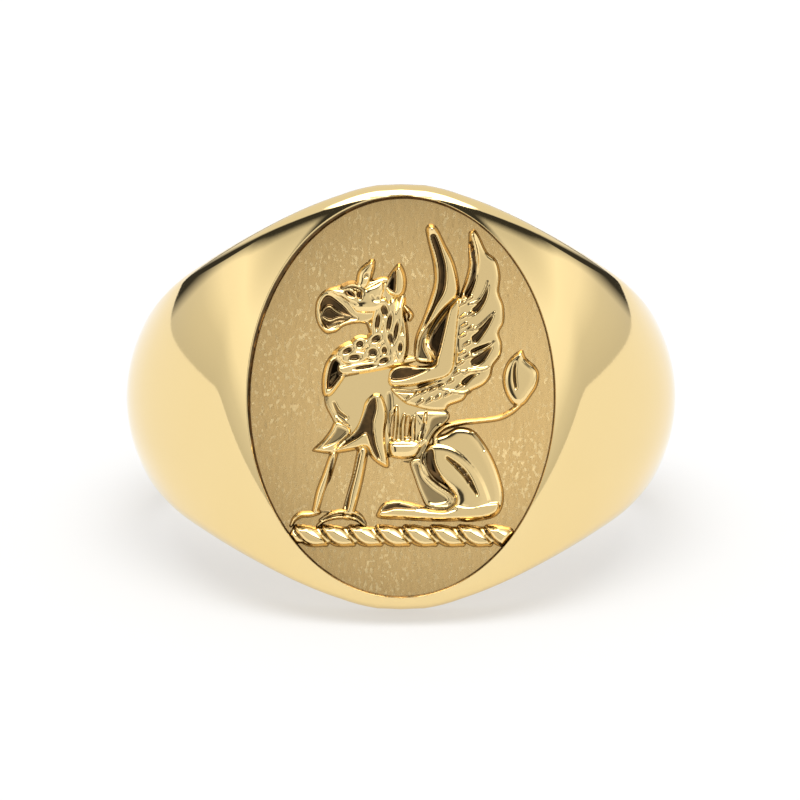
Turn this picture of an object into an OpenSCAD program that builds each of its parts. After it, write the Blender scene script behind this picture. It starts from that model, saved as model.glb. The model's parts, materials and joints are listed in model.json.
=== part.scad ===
// Signet ring with an oval table, a sunk ground and a raised griffin on a twisted bar.
// The ring lies on a level surface, tipped back on its head and the back of its hoop,
// with the origin at the middle of the finger hole.
// Each piece is drawn in the ring's own axes and then tipped back by resting():
// X runs across the hoop, -Y is the way the table faces and Z runs along the finger.

/* [Hoop] */
// Radius of the finger hole
bore_r = 9.5; // [7:0.25:11]
// Thickness of the hoop at its sides and back
hoop_wall = 1.5; // [1.2:0.1:2.5]
// Half the width of the hoop at its back
back_half = 2.3; // [1.5:0.1:4]
// Radius of the hoop's domed outer surface across its width
dome_r = 9; // [6:0.5:20]

/* [Head] */
// Metal between the finger hole and the flat of the table
head_depth = 2.6; // [2.2:0.1:4]
// Half the width of the oval table
table_a = 6.15; // [5:0.05:7]
// Half the height of the oval table
table_b = 8; // [7:0.1:10]
// Radius of the rounded edge along both sides of the ring
edge_r = 0.46; // [0.3:0.02:0.7]
// How fast the outline draws in on both sides of the head
droop = 0.126; // [0.1:0.002:0.14]
// How fast the finger hole's wall narrows behind the head
taper = 2; // [1:0.1:3]

/* [Shoulders] */
// Slope of the shoulder where it leaves the table, in degrees
edge_slope = 18; // [10:1:25]
// Slope where the soft edge runs into the shoulder, in degrees
soft_slope = 47; // [40:1:50]
// Slope where the shoulder runs into the hoop, in degrees
side_slope = 65; // [60:1:68]
// Radius of the soft edge beside the table
soft_r = 2.5; // [1.5:0.1:3]
// Radius of the shoulder in plan
shoulder_r = 15.6; // [12:0.1:17]

/* [Table] */
// Width of the flat rim round the sunk ground
rim_w = 0.15; // [0.1:0.01:0.4]
// Depth of the ground below the rim
sink = 0.2; // [0.1:0.02:0.4]
// Thickness of the oval plate that carries the crest
plate_t = 0.6; // [0.4:0.05:1]
// Height of the crest above the ground
relief = 0.42; // [0.2:0.02:0.8]

/* [Bar under the griffin] */
// Number of strands in the twisted bar
strands = 8; // [6:1:10]
// Radius of one strand
strand_r = 0.34; // [0.25:0.01:0.4]
// Slant of the strands, in degrees
strand_slant = 22; // [0:1:30]

/* [Hidden] */

$fn = 96;
eps = 0.01;
gold = "#e3bd6b";
worn_gold = "#c8a465";
ring_r = bore_r + hoop_wall;
face = bore_r + head_depth;
ground = face - sink;
head_half = table_b + edge_r;
// the shoulders keep the oval's proportions as they fall away from the table
squash = table_a / table_b;
across = 12;         // steps across the hoop's outer surface
oval_points = 120;
inner_r = bore_r - 0.5;
droop_power = 1.6;   // the outline draws in with this power of the distance across
brow = 1.5;          // and is rounded over about this far from the middle of the head
hoop_power = 3;      // and the hoop narrows with this power of the angle left to its back
back_lip = 0.1;      // how much narrower the hoop is outside than in its hole, at the back
full_dome = 90;      // slope at which the dome across the hoop has its full height
roll = [30, 60, 90]; // angles of the points round each edge
resting_roll = 60;   // angle round the back's edge at which the ring rests
ease = 0.06;         // radius of the griffin's inner corners
clear = 0.02;        // gap between the griffin and its wing, and between it and the bar

// the last arc of the shoulder ends upright, at the hoop's side
side_r = (ring_r - table_a - soft_r * (sin(soft_slope) - sin(edge_slope))
          - shoulder_r * (sin(side_slope) - sin(soft_slope))) / (1 - sin(side_slope));

// half the width of the finger hole's wall at an angle round the finger, from the head
function hole_half(angle) =
    let (b = (head_half - back_half) * (1 + 2 * taper) / (2 * taper))
    head_half - b + b / (1 + taper * (1 - cos(angle)));

// a point on an arc that starts at p, as its slope turns from one angle to another
function along(p, r, from, to) = p + r * [sin(to) - sin(from), cos(from) - cos(to)];

// plan of the outer surface through the middle of the hoop, by its slope
soft_end = along([table_a, -face], soft_r, edge_slope, soft_slope);
shoulder_end = along(soft_end, shoulder_r, soft_slope, side_slope);
function plan(slope) =
    slope <= soft_slope ? along([table_a, -face], soft_r, edge_slope, slope)
    : slope <= side_slope ? along(soft_end, shoulder_r, soft_slope, slope)
    : along(shoulder_end, side_r, side_slope, slope);

// n values up to the last, evenly spaced or, with a power of 2, crowded near the first
function steps(from, to, n, power = 1) = [for (i = [1:n]) from + (to - from) * pow(i / n, power)];

// each station is [slope, plan point] from the table's edge round to the back
stations = concat(
    [for (s = concat([edge_slope], steps(edge_slope, soft_slope, 9, 2),
                     steps(soft_slope, side_slope, 5), steps(side_slope, 90, 5)))
        [s, plan(s)]],
    [for (s = concat([90], steps(90, 180, 12))) [s, ring_r * [sin(s), -cos(s)]]]);

// how far the domed surface drops below the plan at a height z
function dome_drop(slope, z) =
    z * z / (2 * dome_r) * max(0, min(1, (slope - soft_slope) / (full_dome - soft_slope)));

// a point of the outer surface: the plan drawn in along an oval, then domed
function outer(station, z) =
    let (slope = station[0], p = station[1], pull = squash * z,
         drop = dome_drop(slope, z),
         q = slope < 90 || p[1] < -eps
             ? [sqrt(max(0, p[0] * p[0] - pull * pull)), p[1]]
             : sqrt(ring_r * ring_r - pull * pull) / ring_r * p)
    [q[0] - drop * sin(slope), q[1] + drop * cos(slope), z];

// the angle of a point round the finger, from the head
function turn(p) = acos(-p[1] / norm(p));

// half the ring's width in front view, at a distance from its middle
function front_half(x) =
    head_half - droop * (pow(x * x + brow * brow, droop_power / 2) - pow(brow, droop_power));

// where the rounded edge starts on a shoulder, found by halving
function shoulder_half(station, low = 0, high = table_b, n = 24) =
    n == 0 ? (low + high) / 2
    : let (mid = (low + high) / 2)
      mid < front_half(outer(station, mid)[0]) - edge_r
          ? shoulder_half(station, mid, high, n - 1)
          : shoulder_half(station, low, mid, n - 1);

// and on the hoop, where it narrows evenly to the back
hoop_start = turn(shoulder_end);
hoop_width = shoulder_half([side_slope, shoulder_end]);
back_width = back_half - back_lip - edge_r;
function outer_half(station) =
    station[0] <= side_slope ? shoulder_half(station)
    : back_width + (hoop_width - back_width)
        * pow((180 - turn(station[1])) / (180 - hoop_start), hoop_power);

// a point of the rounded edge, rolled over by an angle towards the finger
function rolled(station, half, angle) =
    let (edge = outer(station, half), far = norm([edge[0], edge[1]]),
         left = 1 - edge_r * (1 - cos(angle)) / far)
    [edge[0] * left, edge[1] * left, half + edge_r * sin(angle)];

// one section: across the outer surface, round both edges and down to inside the hole
function section(station) =
    let (half = outer_half(station), low = rolled(station, half, 90), a = turn(low),
         wall = hole_half(a),
         flare = (wall - low[2]) / (norm([low[0], low[1]]) - bore_r) * (bore_r - inner_r),
         q = inner_r * [sin(a), -cos(a)],
         edge = [for (b = roll) rolled(station, half, b)])
    concat([for (i = [len(edge) - 1:-1:0]) [edge[i][0], edge[i][1], -edge[i][2]]],
           [for (i = [0:across]) outer(station, half * (2 * i / across - 1))],
           edge, [[q[0], q[1], wall + flare], [q[0], q[1], -wall - flare]]);

// the lowest points of the head and of the back give the angle at which the ring rests
back_edge = rolled([180, [0, ring_r]], back_width, resting_roll);
lean = atan((head_half - back_edge[2]) / (bore_r + back_edge[1]));

module resting() {
    rotate([-lean, 0, 0]) children();
}

// ---- outlines on the table, seen from the front ----

module oval(a, b) {
    polygon([for (i = [0:oval_points - 1])
        let (t = 360 * i / oval_points) [a * cos(t), b * sin(t)]]);
}

// raises a flat outline by h towards the front, from a plane at this distance from the hole
module raised(base, h) {
    translate([0, -base, 0]) rotate([90, 0, 0]) linear_extrude(h) children();
}

// a band of changing width along a curved line of [x, z, half width]
module band(line) {
    last = len(line) - 1;
    normals = [for (i = [0:last])
        let (a = line[max(0, i - 1)], b = line[min(last, i + 1)],
             d = [b[0] - a[0], b[1] - a[1]])
        [-d[1], d[0]] / norm(d)];
    polygon(concat(
        [for (i = [0:last]) [line[i][0], line[i][1]] + normals[i] * line[i][2]],
        [for (i = [last:-1:0]) [line[i][0], line[i][1]] - normals[i] * line[i][2]]));
}

head_line = [[-3.35, 3.1], [-3.45, 3.75], [-3.2, 4.15], [-2.6, 4.45], [-1.8, 4.6],
             [-1.6, 4.9], [-1.15, 5.4], [-0.95, 4.75], [-0.65, 4.55], [-0.1, 5.4],
             [0.25, 4.6], [-0.15, 3.9], [0.1, 3.6], [0.4, 3], [0.5, 2],
             [0.2, 1.2], [-0.9, 1.1], [-2.1, 0.8], [-2.7, -0.05], [-3.05, 0],
             [-2.95, 0.8], [-2.5, 1.55], [-1.6, 2.15], [-1.4, 2.8], [-2.1, 2.75],
             [-2.95, 2.5], [-3.05, 2.85]];
trunk_line = [[-2.35, 0.75], [-1.4, 1.35], [0.15, 1.4], [1.6, 0.3], [1.55, -1.5],
              [1, -2.1], [0.3, -2.45], [-0.4, -2.2], [-0.9, -1.2], [-1.6, -1.3],
              [-2.2, -1.2], [-2.45, -0.9], [-2.35, 0]];
thigh_line = [[-1.1, 0.1], [-0.6, -0.7], [-0.55, -2.6], [-1.1, -2.3], [-1.45, -1.5],
              [-2, -2], [-2.9, -2.1], [-3.4, -2.2], [-2.9, -1.7], [-2.4, -1.1],
              [-1.7, -0.9], [-1.5, -0.4]];
haunch_line = [[1.3, -1.75], [2.1, -1.35], [2.9, -1.35], [3.6, -1.9], [3.95, -2.7],
               [3.95, -3.9], [3.6, -4.5], [3.2, -4.75], [-0.85, -4.75], [-0.8, -4.4],
               [-0.1, -4.1], [1.9, -4.35], [1.5, -3.7], [0.9, -3], [0.9, -2]];
far_leg = [[-2.75, -1.9, 0.2], [-3.05, -3.2, 0.15], [-3.35, -4.5, 0.16],
           [-3.75, -4.85, 0.25]];
near_leg = [[-1.7, -2, 0.28], [-1.85, -3.2, 0.18], [-2.15, -4.4, 0.2],
            [-2.45, -4.9, 0.5]];
tail = [[2.7, -1.2, 0.3], [3.3, -0.85, 0.18], [4, -0.7, 0.14], [4.6, -0.4, 0.18],
        [4.95, 0.1, 0.45], [4.9, 0.75, 0.55], [4.75, 1.3, 0.35], [4.7, 1.75, 0.05]];
wing_line = [[-0.65, 0.95], [-0.3, 0.5], [0.9, 0.1], [0.4, -0.35], [0.9, -0.6],
             [2, -0.5], [2.8, 0], [3.45, 0.5], [3.75, 1.05], [4.1, 1.9],
             [3.75, 2.15], [4.2, 3], [3.75, 3.3], [4.1, 3.8], [3.5, 4.45],
             [3.9, 4.95], [3.3, 5.7], [2.85, 6.6], [2.6, 5.9], [2.6, 4.9],
             [2.3, 4.3], [2.05, 5.3], [1.55, 6.2], [1.2, 6.85], [1.1, 6.1],
             [1.3, 5], [1, 3.6], [0.6, 2.4], [0.95, 1.5], [0.2, 1.25]];

// the griffin without its wing, its inner corners eased, standing clear of the bar
module figure_outline() {
    difference() {
        offset(r = -ease) offset(r = ease) {
            for (line = [head_line, trunk_line, thigh_line, haunch_line]) polygon(line);
            for (line = [far_leg, near_leg, tail]) band(line);
        }
        offset(delta = clear) polygon(wing_line);
        translate([-table_a, bar_z - bar_half]) square([2 * table_a, 2 * bar_half + clear]);
    }
}

module strand(x) {
    reach = 0.3;     // half the length of the strand's round bar
    translate([x, -ground, bar_z]) rotate([0, 90 + strand_slant, 0]) {
        translate([0, 0, -reach]) cylinder(r = strand_r, h = 2 * reach);
        for (end = [-reach, reach]) translate([0, 0, end]) sphere(r = strand_r);
    }
}

bar_z = -5.3;
bar_left = -4.4;
bar_right = 4.75;
bar_half = 0.4;

// ---- the pieces ----

// hoop, shoulders and head in one casting, with the finger hole and the oval seat
module ring_body() {
    half = [for (s = stations) section(s)];
    n = len(half) - 1;               // the last station lies on the ring's middle plane
    m = len(half[0]);
    r = len(roll);
    flipped = [for (k = [n - 1:-1:0]) [for (p = half[k]) [-p[0], p[1], p[2]]]];
    sections = concat(half, flipped);
    last = len(sections) - 1;
    // at the head the two halves share the points that lie on the middle plane
    function at(k, i) = k == last && (i <= r || i >= r + across) ? i : k * m + i;
    skin = [for (k = [0:last - 1], i = [0:m - 1])
        let (j = (i + 1) % m) [at(k, i), at(k + 1, i), at(k + 1, j), at(k, j)]];
    table = concat([for (i = [r:r + across]) at(0, i)],
                   [for (i = [r + across - 1:-1:r + 1]) at(last, i)]);
    color(gold) resting() difference() {
        polyhedron([for (s = sections) each s], concat(skin, [table]), convexity = 6);
        cylinder(r = bore_r, h = 4 * head_half, center = true);
        raised(ground - plate_t, plate_t + 2 * sink) oval(table_a - rim_w, table_b - rim_w);
    }
}

// oval plate that fills the seat and carries the crest
module oval_plate() {
    color(worn_gold) resting()
        raised(ground - plate_t, plate_t) oval(table_a - rim_w, table_b - rim_w);
}

// seated griffin, cut round the wing that lies over its back
module griffin_figure() {
    color(gold) resting() raised(ground, relief) figure_outline();
}

// raised wing
module griffin_wing() {
    color(gold) resting() raised(ground, relief) polygon(wing_line);
}

// twisted bar that the griffin sits on
module twisted_bar() {
    pitch = (bar_right - bar_left) / strands;
    color(gold) resting() intersection() {
        for (i = [0:strands - 1]) strand(bar_left + pitch * (i + 0.5));
        raised(ground, relief) translate([bar_left, bar_z - bar_half])
            square([bar_right - bar_left, 2 * bar_half]);
    }
}

ring_body();
oval_plate();
griffin_figure();
griffin_wing();
twisted_bar();
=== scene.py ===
"""A gold signet ring: a tapering hoop, an oval table and a griffin in relief on a twisted bar.

Sizes are in millimetres in the ring's own axes, the ones it is designed in: X runs across the hoop,
-Y is the way the table faces and Z runs along the finger, from the middle of the finger hole.
RingAxes tips them back to the way the ring rests, and turns them into metres.
"""
import json
import logging
import math
from dataclasses import dataclass, field
from enum import Enum
from typing import ClassVar, Sequence
import bmesh
import bpy
import numpy as np
from mathutils import Matrix, Vector, noise


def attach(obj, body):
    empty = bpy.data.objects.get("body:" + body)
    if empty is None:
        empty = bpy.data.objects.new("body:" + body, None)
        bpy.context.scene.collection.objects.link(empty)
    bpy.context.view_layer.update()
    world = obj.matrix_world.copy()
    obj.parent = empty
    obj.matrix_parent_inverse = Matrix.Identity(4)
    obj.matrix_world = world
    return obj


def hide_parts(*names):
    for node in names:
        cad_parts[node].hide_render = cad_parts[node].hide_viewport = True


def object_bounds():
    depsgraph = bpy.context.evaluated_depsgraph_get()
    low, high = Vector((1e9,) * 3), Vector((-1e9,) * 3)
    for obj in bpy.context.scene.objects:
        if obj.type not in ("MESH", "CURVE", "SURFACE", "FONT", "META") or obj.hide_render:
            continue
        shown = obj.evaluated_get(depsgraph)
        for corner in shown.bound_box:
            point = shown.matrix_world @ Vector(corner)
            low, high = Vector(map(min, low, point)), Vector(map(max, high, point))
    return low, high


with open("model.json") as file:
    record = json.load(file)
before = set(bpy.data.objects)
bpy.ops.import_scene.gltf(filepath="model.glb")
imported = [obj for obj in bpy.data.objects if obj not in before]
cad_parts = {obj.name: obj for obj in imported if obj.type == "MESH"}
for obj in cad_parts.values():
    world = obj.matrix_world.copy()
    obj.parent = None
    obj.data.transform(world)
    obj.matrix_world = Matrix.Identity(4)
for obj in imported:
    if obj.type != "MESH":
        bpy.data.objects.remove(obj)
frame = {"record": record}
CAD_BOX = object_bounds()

LOG = logging.getLogger("signet_ring")
MM = 0.001
ROOT = "root"
# how often the span is halved when a height is searched for
HALVINGS = 26
Points = Sequence[tuple[float, ...]]


class Slot(Enum):
    """The record's finishes, by their slot names."""

    POLISHED = "polished_gold"
    GROUND = "textured_gold"
    RELIEF = "relief_gold"


# ---------------------------------------------------------------- axes and sizes


@dataclass(frozen=True)
class RingAxes:
    """The ring's own axes in the frame, taken from the finger hole's axis."""

    sin_lean: float
    cos_lean: float

    @classmethod
    def from_record(cls, record: dict) -> "RingAxes":
        """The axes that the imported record's finger hole gives.

        Args:
            record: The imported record.

        Returns:
            The ring's axes.
        """
        _, along_y, along_z = record["mounts"][0]["axis"]
        length = math.hypot(along_y, along_z)
        return cls(along_y / length, along_z / length)

    def to_frame(self, points: np.ndarray) -> np.ndarray:
        """Points in ring millimetres, as frame metres.

        Args:
            points: An array of x, y, z rows in the ring's axes.

        Returns:
            The same points in the frame, in metres.
        """
        x, y, z = points.T
        s, c = self.sin_lean, self.cos_lean
        return np.stack([x, y * c + z * s, z * c - y * s], axis=1) * MM

    def one(self, x: float, y: float, z: float) -> Vector:
        """One point in ring millimetres, as frame metres."""
        return Vector(self.to_frame(np.array([[x, y, z]]))[0])


@dataclass(frozen=True)
class RingSizes:
    """The driving sizes of the hoop, the head and the table."""

    bore_r: float = 9.5
    ring_r: float = 11.0
    face: float = 12.1
    ground: float = 11.9
    table_a: float = 6.15
    table_b: float = 8.0
    edge_r: float = 0.46
    back_half: float = 2.3
    back_lip: float = 0.1
    dome_r: float = 9.0
    droop: float = 0.126
    droop_power: float = 1.6
    brow: float = 1.5
    taper: float = 2.0
    hoop_power: float = 3.0

    @property
    def head_half(self) -> float:
        """Half the ring's width at the head."""
        return self.table_b + self.edge_r

    @property
    def squash(self) -> float:
        """How much narrower than tall the table is."""
        return self.table_a / self.table_b


# ---------------------------------------------------------------- mesh helpers


def ease(t: np.ndarray) -> np.ndarray:
    """A smooth step from 0 to 1 as t goes from 0 to 1."""
    t = np.clip(t, 0, 1)
    return t * t * (3 - 2 * t)


def smooth_min(a: np.ndarray, b: np.ndarray, soft: float) -> np.ndarray:
    """The lower of two heights, rounded over where they meet.

    Args:
        a: One set of heights.
        b: The other set.
        soft: How far from the meeting line the rounding reaches, in height.

    Returns:
        The rounded lower heights.
    """
    blend = np.maximum(soft - np.abs(a - b), 0) / soft
    return np.minimum(a, b) - blend * blend * soft / 4


def finished(bm: bmesh.types.BMesh, name: str, slot: Slot, material: bpy.types.Material,
             *nodes: str) -> bpy.types.Object:
    """Turns a finished bmesh into a piece of the ring.

    Args:
        bm: The mesh, in frame metres; it is freed.
        name: The piece's name.
        slot: The record's finish meant for the piece; it is not used.
        material: The material it is dressed in.
        nodes: The CAD nodes it stands for.

    Returns:
        The new object, riding on the ring.
    """
    for face in bm.faces:
        face.smooth = True
    mesh = bpy.data.meshes.new(name)
    bm.to_mesh(mesh)
    bm.free()
    mesh.materials.append(material)
    piece = bpy.data.objects.new(name, mesh)
    bpy.context.scene.collection.objects.link(piece)
    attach(piece, ROOT)
    if nodes:
        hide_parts(*nodes)
    LOG.info("%s: %d vertices, %d faces", name, len(mesh.vertices), len(mesh.polygons))
    return piece


def vertex_array(bm: bmesh.types.BMesh) -> np.ndarray:
    """The places of a bmesh's vertices as rows of x, y, z."""
    return np.array([v.co for v in bm.verts], float)


def place_vertices(bm: bmesh.types.BMesh, points: np.ndarray) -> None:
    """Moves a bmesh's vertices to the rows of an array."""
    for vertex, point in zip(bm.verts, points):
        vertex.co = point


def unit_grid(columns: int, rows: int) -> bmesh.types.BMesh:
    """A flat grid of squares that fills 0..1 in x and y.

    Args:
        columns: The squares across.
        rows: The squares up.

    Returns:
        The grid.
    """
    bm = bmesh.new()
    bmesh.ops.create_grid(bm, x_segments=columns, y_segments=rows, size=0.5)
    bmesh.ops.translate(bm, verts=bm.verts, vec=(0.5, 0.5, 0))
    return bm


# ---------------------------------------------------------------- the ring body


@dataclass
class ShoulderPlan:
    """Plan of the ring through the middle of its width, as a curve that bends ever so smoothly.

    The curve runs from the table's edge over the soft edge, the shoulder and the side to the back.
    """

    sizes: RingSizes
    edge_slope: float = 18.0
    soft_slope: float = 47.0
    side_slope: float = 65.0
    soft_r: float = 2.5
    shoulder_r: float = 15.6
    blends: tuple[float, ...] = (0.9, 2.6, 2.6, 3.0)
    step: float = 0.01

    def __post_init__(self) -> None:
        """Integrates the curve's bend into slopes and points."""
        s = self.sizes
        turn = [math.radians(a) for a in (self.edge_slope, self.soft_slope, self.side_slope, 90)]
        sines = [math.sin(a) for a in turn]
        reach = (s.ring_r - s.table_a - self.soft_r * (sines[1] - sines[0])
                 - self.shoulder_r * (sines[2] - sines[1]))
        side_r = reach / (1 - sines[2])
        depth = (self.soft_r * (math.cos(turn[0]) - math.cos(turn[1]))
                 + self.shoulder_r * (math.cos(turn[1]) - math.cos(turn[2]))
                 + side_r * math.cos(turn[2]))
        straight = s.face - depth
        lengths = [self.soft_r * (turn[1] - turn[0]), self.shoulder_r * (turn[2] - turn[1]),
                   side_r * (turn[3] - turn[2]), straight, s.ring_r * math.pi / 2]
        bends = [1 / self.soft_r, 1 / self.shoulder_r, 1 / side_r, 0, 1 / s.ring_r]
        joints = np.cumsum(lengths)
        self.side_start = float(joints[1])
        self.length = np.arange(0, joints[-1] + self.step / 2, self.step)
        bend = np.full_like(self.length, bends[0])
        for joint, width, low, high in zip(joints[:-1], self.blends, bends, bends[1:]):
            bend += (high - low) * ease((self.length - joint) / width + 0.5)
        middle = (bend[1:] + bend[:-1]) / 2
        slope = np.concatenate([[turn[0]], turn[0] + np.cumsum(middle) * self.step])
        slope = turn[0] + (slope - turn[0]) * (math.pi - turn[0]) / (slope[-1] - turn[0])
        self.slope = slope
        share = np.linspace(0, 1, len(slope))
        x = s.table_a + self._summed(np.cos(slope))
        y = -s.face + self._summed(np.sin(slope))
        self.x = x - share * x[-1]
        self.y = y + share * (s.ring_r - y[-1])

    def _summed(self, values: np.ndarray) -> np.ndarray:
        """The running integral of values along the curve."""
        middle = (values[1:] + values[:-1]) / 2
        return np.concatenate([[0], np.cumsum(middle) * self.step])

    def at(self, length: float) -> tuple[float, float, float]:
        """The slope in radians, x and y at a length along the curve."""
        return tuple(float(np.interp(length, self.length, v)) for v in (self.slope, self.x, self.y))


@dataclass
class RingBody:
    """The hoop, shoulders and head in one skin, with the oval seat in the head."""

    axes: RingAxes
    sizes: RingSizes = field(default_factory=RingSizes)
    stations: int = 150
    crowding: float = 1.5
    across: int = 88
    roll_steps: int = 12
    roll_r: float = 1.15
    roll_reach: float = 3.2
    wall_steps: int = 5
    fillet_r: float = 0.14
    fillet_steps: int = 4
    bore_steps: int = 10
    seat_depth: float = 0.8
    rim_steps: tuple[tuple[float, float], ...] = (
        (0.006, -0.006), (0.022, -0.05), (0.06, -0.1), (0.08, -0.2), (0.095, -0.28))
    groove_last: int = 2
    groove_extra: float = 0.15
    groove_side: float = 140.0
    widest: float = 0.26
    groove_onset: float = 12.0
    wear: float = 0.012
    wear_pace: float = 2.6
    wear_layer: float = 3.0
    wear_from: float = 0.02
    probe: float = 0.004
    stride: int = 20
    window: int = 9
    soften_from: float = 1.5
    soften_over: float = 2.5
    weld: float = 1e-5
    mirror_weld: float = 1e-4
    sliver: float = 1e-6

    def __post_init__(self) -> None:
        """Works out the plan and the outline along it."""
        self.plan = ShoulderPlan(self.sizes)
        total = self.plan.length[-1]
        share = np.linspace(0, 1, self.stations + 1) ** self.crowding
        self.places = share * total
        self.outline = self._outline()

    def _front_half(self, x: float) -> float:
        """Half the ring's width in front view at a distance from its middle.

        Args:
            x: The distance from the middle.

        Returns:
            Half the width.
        """
        s = self.sizes
        power = s.droop_power / 2
        return s.head_half - s.droop * ((x * x + s.brow ** 2) ** power - s.brow ** s.droop_power)

    def _outer(self, place: float, z: float) -> np.ndarray:
        """A point of the outer surface at a length along the plan and a height.

        Args:
            place: The length along the plan.
            z: The height.

        Returns:
            The point.
        """
        s = self.sizes
        slope, x, y = self.plan.at(place)
        pull = s.squash * z
        soft = math.radians(self.plan.soft_slope)
        dome = float(ease(np.array((slope - soft) / (math.pi / 2 - soft))))
        drop = z * z / (2 * s.dome_r) * dome
        if y < 0:
            qx, qy = math.sqrt(max(0.0, x * x - pull * pull)), y
        else:
            shrink = math.sqrt(s.ring_r ** 2 - pull * pull) / s.ring_r
            qx, qy = x * shrink, y * shrink
        return np.array([qx - drop * math.sin(slope), qy + drop * math.cos(slope), z])

    def _lean(self, place: float, z: float) -> tuple[np.ndarray, float]:
        """How the outer surface leans at a point.

        Args:
            place: The length along the plan.
            z: The height.

        Returns:
            The direction straight in towards the finger, and the angle in radians by which the
            surface leans that way as it rises.
        """
        point = self._outer(place, z)
        inward = -np.array([point[0], point[1], 0]) / math.hypot(point[0], point[1])
        step = self.probe
        if place < step:
            return inward, math.radians(self.plan.edge_slope)
        up = self._outer(place, z) - self._outer(place, z - step)
        onward = self._outer(place + step, z) - self._outer(place - step, z)
        normal = np.cross(up, onward)
        normal /= np.linalg.norm(normal)
        if normal @ inward > 0:
            normal = -normal
        return inward, math.atan2(normal[2], -(normal @ inward))

    def _roll_radius(self, place: float) -> float:
        """Radius of the rounded edge, growing from the head's middle to the shoulders.

        Args:
            place: The length along the plan.

        Returns:
            The radius.
        """
        s = self.sizes
        first = s.edge_r / (1 - math.sin(math.radians(self.plan.edge_slope)))
        return first + (self.roll_r - first) * float(ease(np.array(place / self.roll_reach)))

    def _outline(self) -> np.ndarray:
        """Half the ring's width at each station, smoothed where the shoulder meets the hoop.

        Returns:
            One half width for each station.
        """
        s = self.sizes
        start = self.plan.side_start
        at_start = self._shoulder_half(start)
        back = s.back_half - s.back_lip
        angle = self._turn(start)
        fine = self.plan.length[::self.stride]
        half = []
        for place in fine:
            if place <= start:
                half.append(self._shoulder_half(place))
            else:
                left = (math.pi - self._turn(place)) / (math.pi - angle)
                half.append(back + (at_start - back) * left ** s.hoop_power)
        half = np.array(half)
        kernel = np.hanning(2 * self.window + 1)
        padded = np.pad(half, self.window, mode="edge")
        soft = np.convolve(padded, kernel / kernel.sum(), mode="valid")
        mix = ease((fine - self.soften_from) / self.soften_over)
        return np.interp(self.places, fine, half * (1 - mix) + soft * mix)

    def _turn(self, place: float) -> float:
        """The angle round the finger, from the head, at a length along the plan."""
        _, x, y = self.plan.at(place)
        return math.acos(-y / math.hypot(x, y))

    def _roll_top(self, place: float, z: float) -> tuple[float, float]:
        """The x and height of the rounded edge's top where it leaves the surface at a height.

        Args:
            place: The length along the plan.
            z: The height at which the edge leaves the surface.

        Returns:
            The top's x and height.
        """
        inward, lean = self._lean(place, z)
        radius = self._roll_radius(place)
        point = self._outer(place, z)
        return (point[0] + inward[0] * radius * math.cos(lean),
                z + radius * (1 - math.sin(lean)))

    def _shoulder_half(self, place: float) -> float:
        """Half the ring's width on the shoulder, where its front outline crosses this station.

        Args:
            place: The length along the plan.

        Returns:
            Half the width.
        """
        low, high = 0.0, self.sizes.table_b
        for _ in range(HALVINGS):
            middle = (low + high) / 2
            x, top = self._roll_top(place, middle)
            low, high = (middle, high) if top < self._front_half(x) else (low, middle)
        return self._roll_top(place, low)[1]

    def _roll_start(self, place: float, top: float) -> float:
        """The height at which the rounded edge leaves the outer surface.

        Args:
            place: The length along the plan.
            top: The height of the edge's top.

        Returns:
            The height.
        """
        low, high = 0.0, min(top, self.sizes.table_b)
        for _ in range(HALVINGS):
            middle = (low + high) / 2
            low, high = (middle, high) if self._roll_top(place, middle)[1] < top else (low, middle)
        return low

    def _rolled(self, place: float, start: float) -> list[np.ndarray]:
        """Points round the edge, from the outer surface's own lean to straight inward.

        Args:
            place: The length along the plan.
            start: The height at which the edge leaves the outer surface.

        Returns:
            The points, in order.
        """
        point = self._outer(place, start)
        inward, lean = self._lean(place, start)
        radius = self._roll_radius(place)
        up = np.array([0, 0, 1])
        return [point + radius * ((math.sin(a) - math.sin(lean)) * up
                                  + (math.cos(lean) - math.cos(a)) * inward)
                for a in np.linspace(lean, math.pi / 2, self.roll_steps + 1)[1:]]

    def _hole_half(self, angle: float) -> float:
        """Half the width of the finger hole's wall at an angle round the finger.

        Args:
            angle: The angle from the head, in radians.

        Returns:
            Half the width.
        """
        s = self.sizes
        span = (s.head_half - s.back_half) * (1 + 2 * s.taper) / (2 * s.taper)
        return s.head_half - span + span / (1 + s.taper * (1 - math.cos(angle)))

    def _half_section(self, index: int) -> list[np.ndarray]:
        """Points from the middle of the outer surface over the edge to the middle of the hole.

        Args:
            index: The section's place among the stations.

        Returns:
            The points, in order.
        """
        s = self.sizes
        place, top = self.places[index], self.outline[index]
        start = self._roll_start(place, top) if index else s.table_b
        half_across = self.across // 2
        points = [self._outer(place, start * math.sin(math.pi / 2 * i / half_across))
                  for i in range(half_across + 1)]
        points += self._rolled(place, start)
        low = points[-1]
        far = math.hypot(low[0], low[1])
        out = np.array([low[0], low[1]]) / far
        wall = self._hole_half(math.acos(max(-1.0, min(1.0, -out[1]))))
        corner = s.bore_r + self.fillet_r
        for i in range(1, self.wall_steps + 1):
            t = i / self.wall_steps
            points.append(np.array([*(out * (far + (corner - far) * t)),
                                    low[2] + (wall - low[2]) * t]))
        for i in range(1, self.fillet_steps + 1):
            a = math.pi / 2 * i / self.fillet_steps
            points.append(np.array([*(out * (corner - self.fillet_r * math.sin(a))),
                                    wall - self.fillet_r * (1 - math.cos(a))]))
        edge = wall - self.fillet_r
        for i in range(1, self.bore_steps + 1):
            points.append(np.array([*(out * s.bore_r), edge * (1 - i / self.bore_steps)]))
        return points

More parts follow.
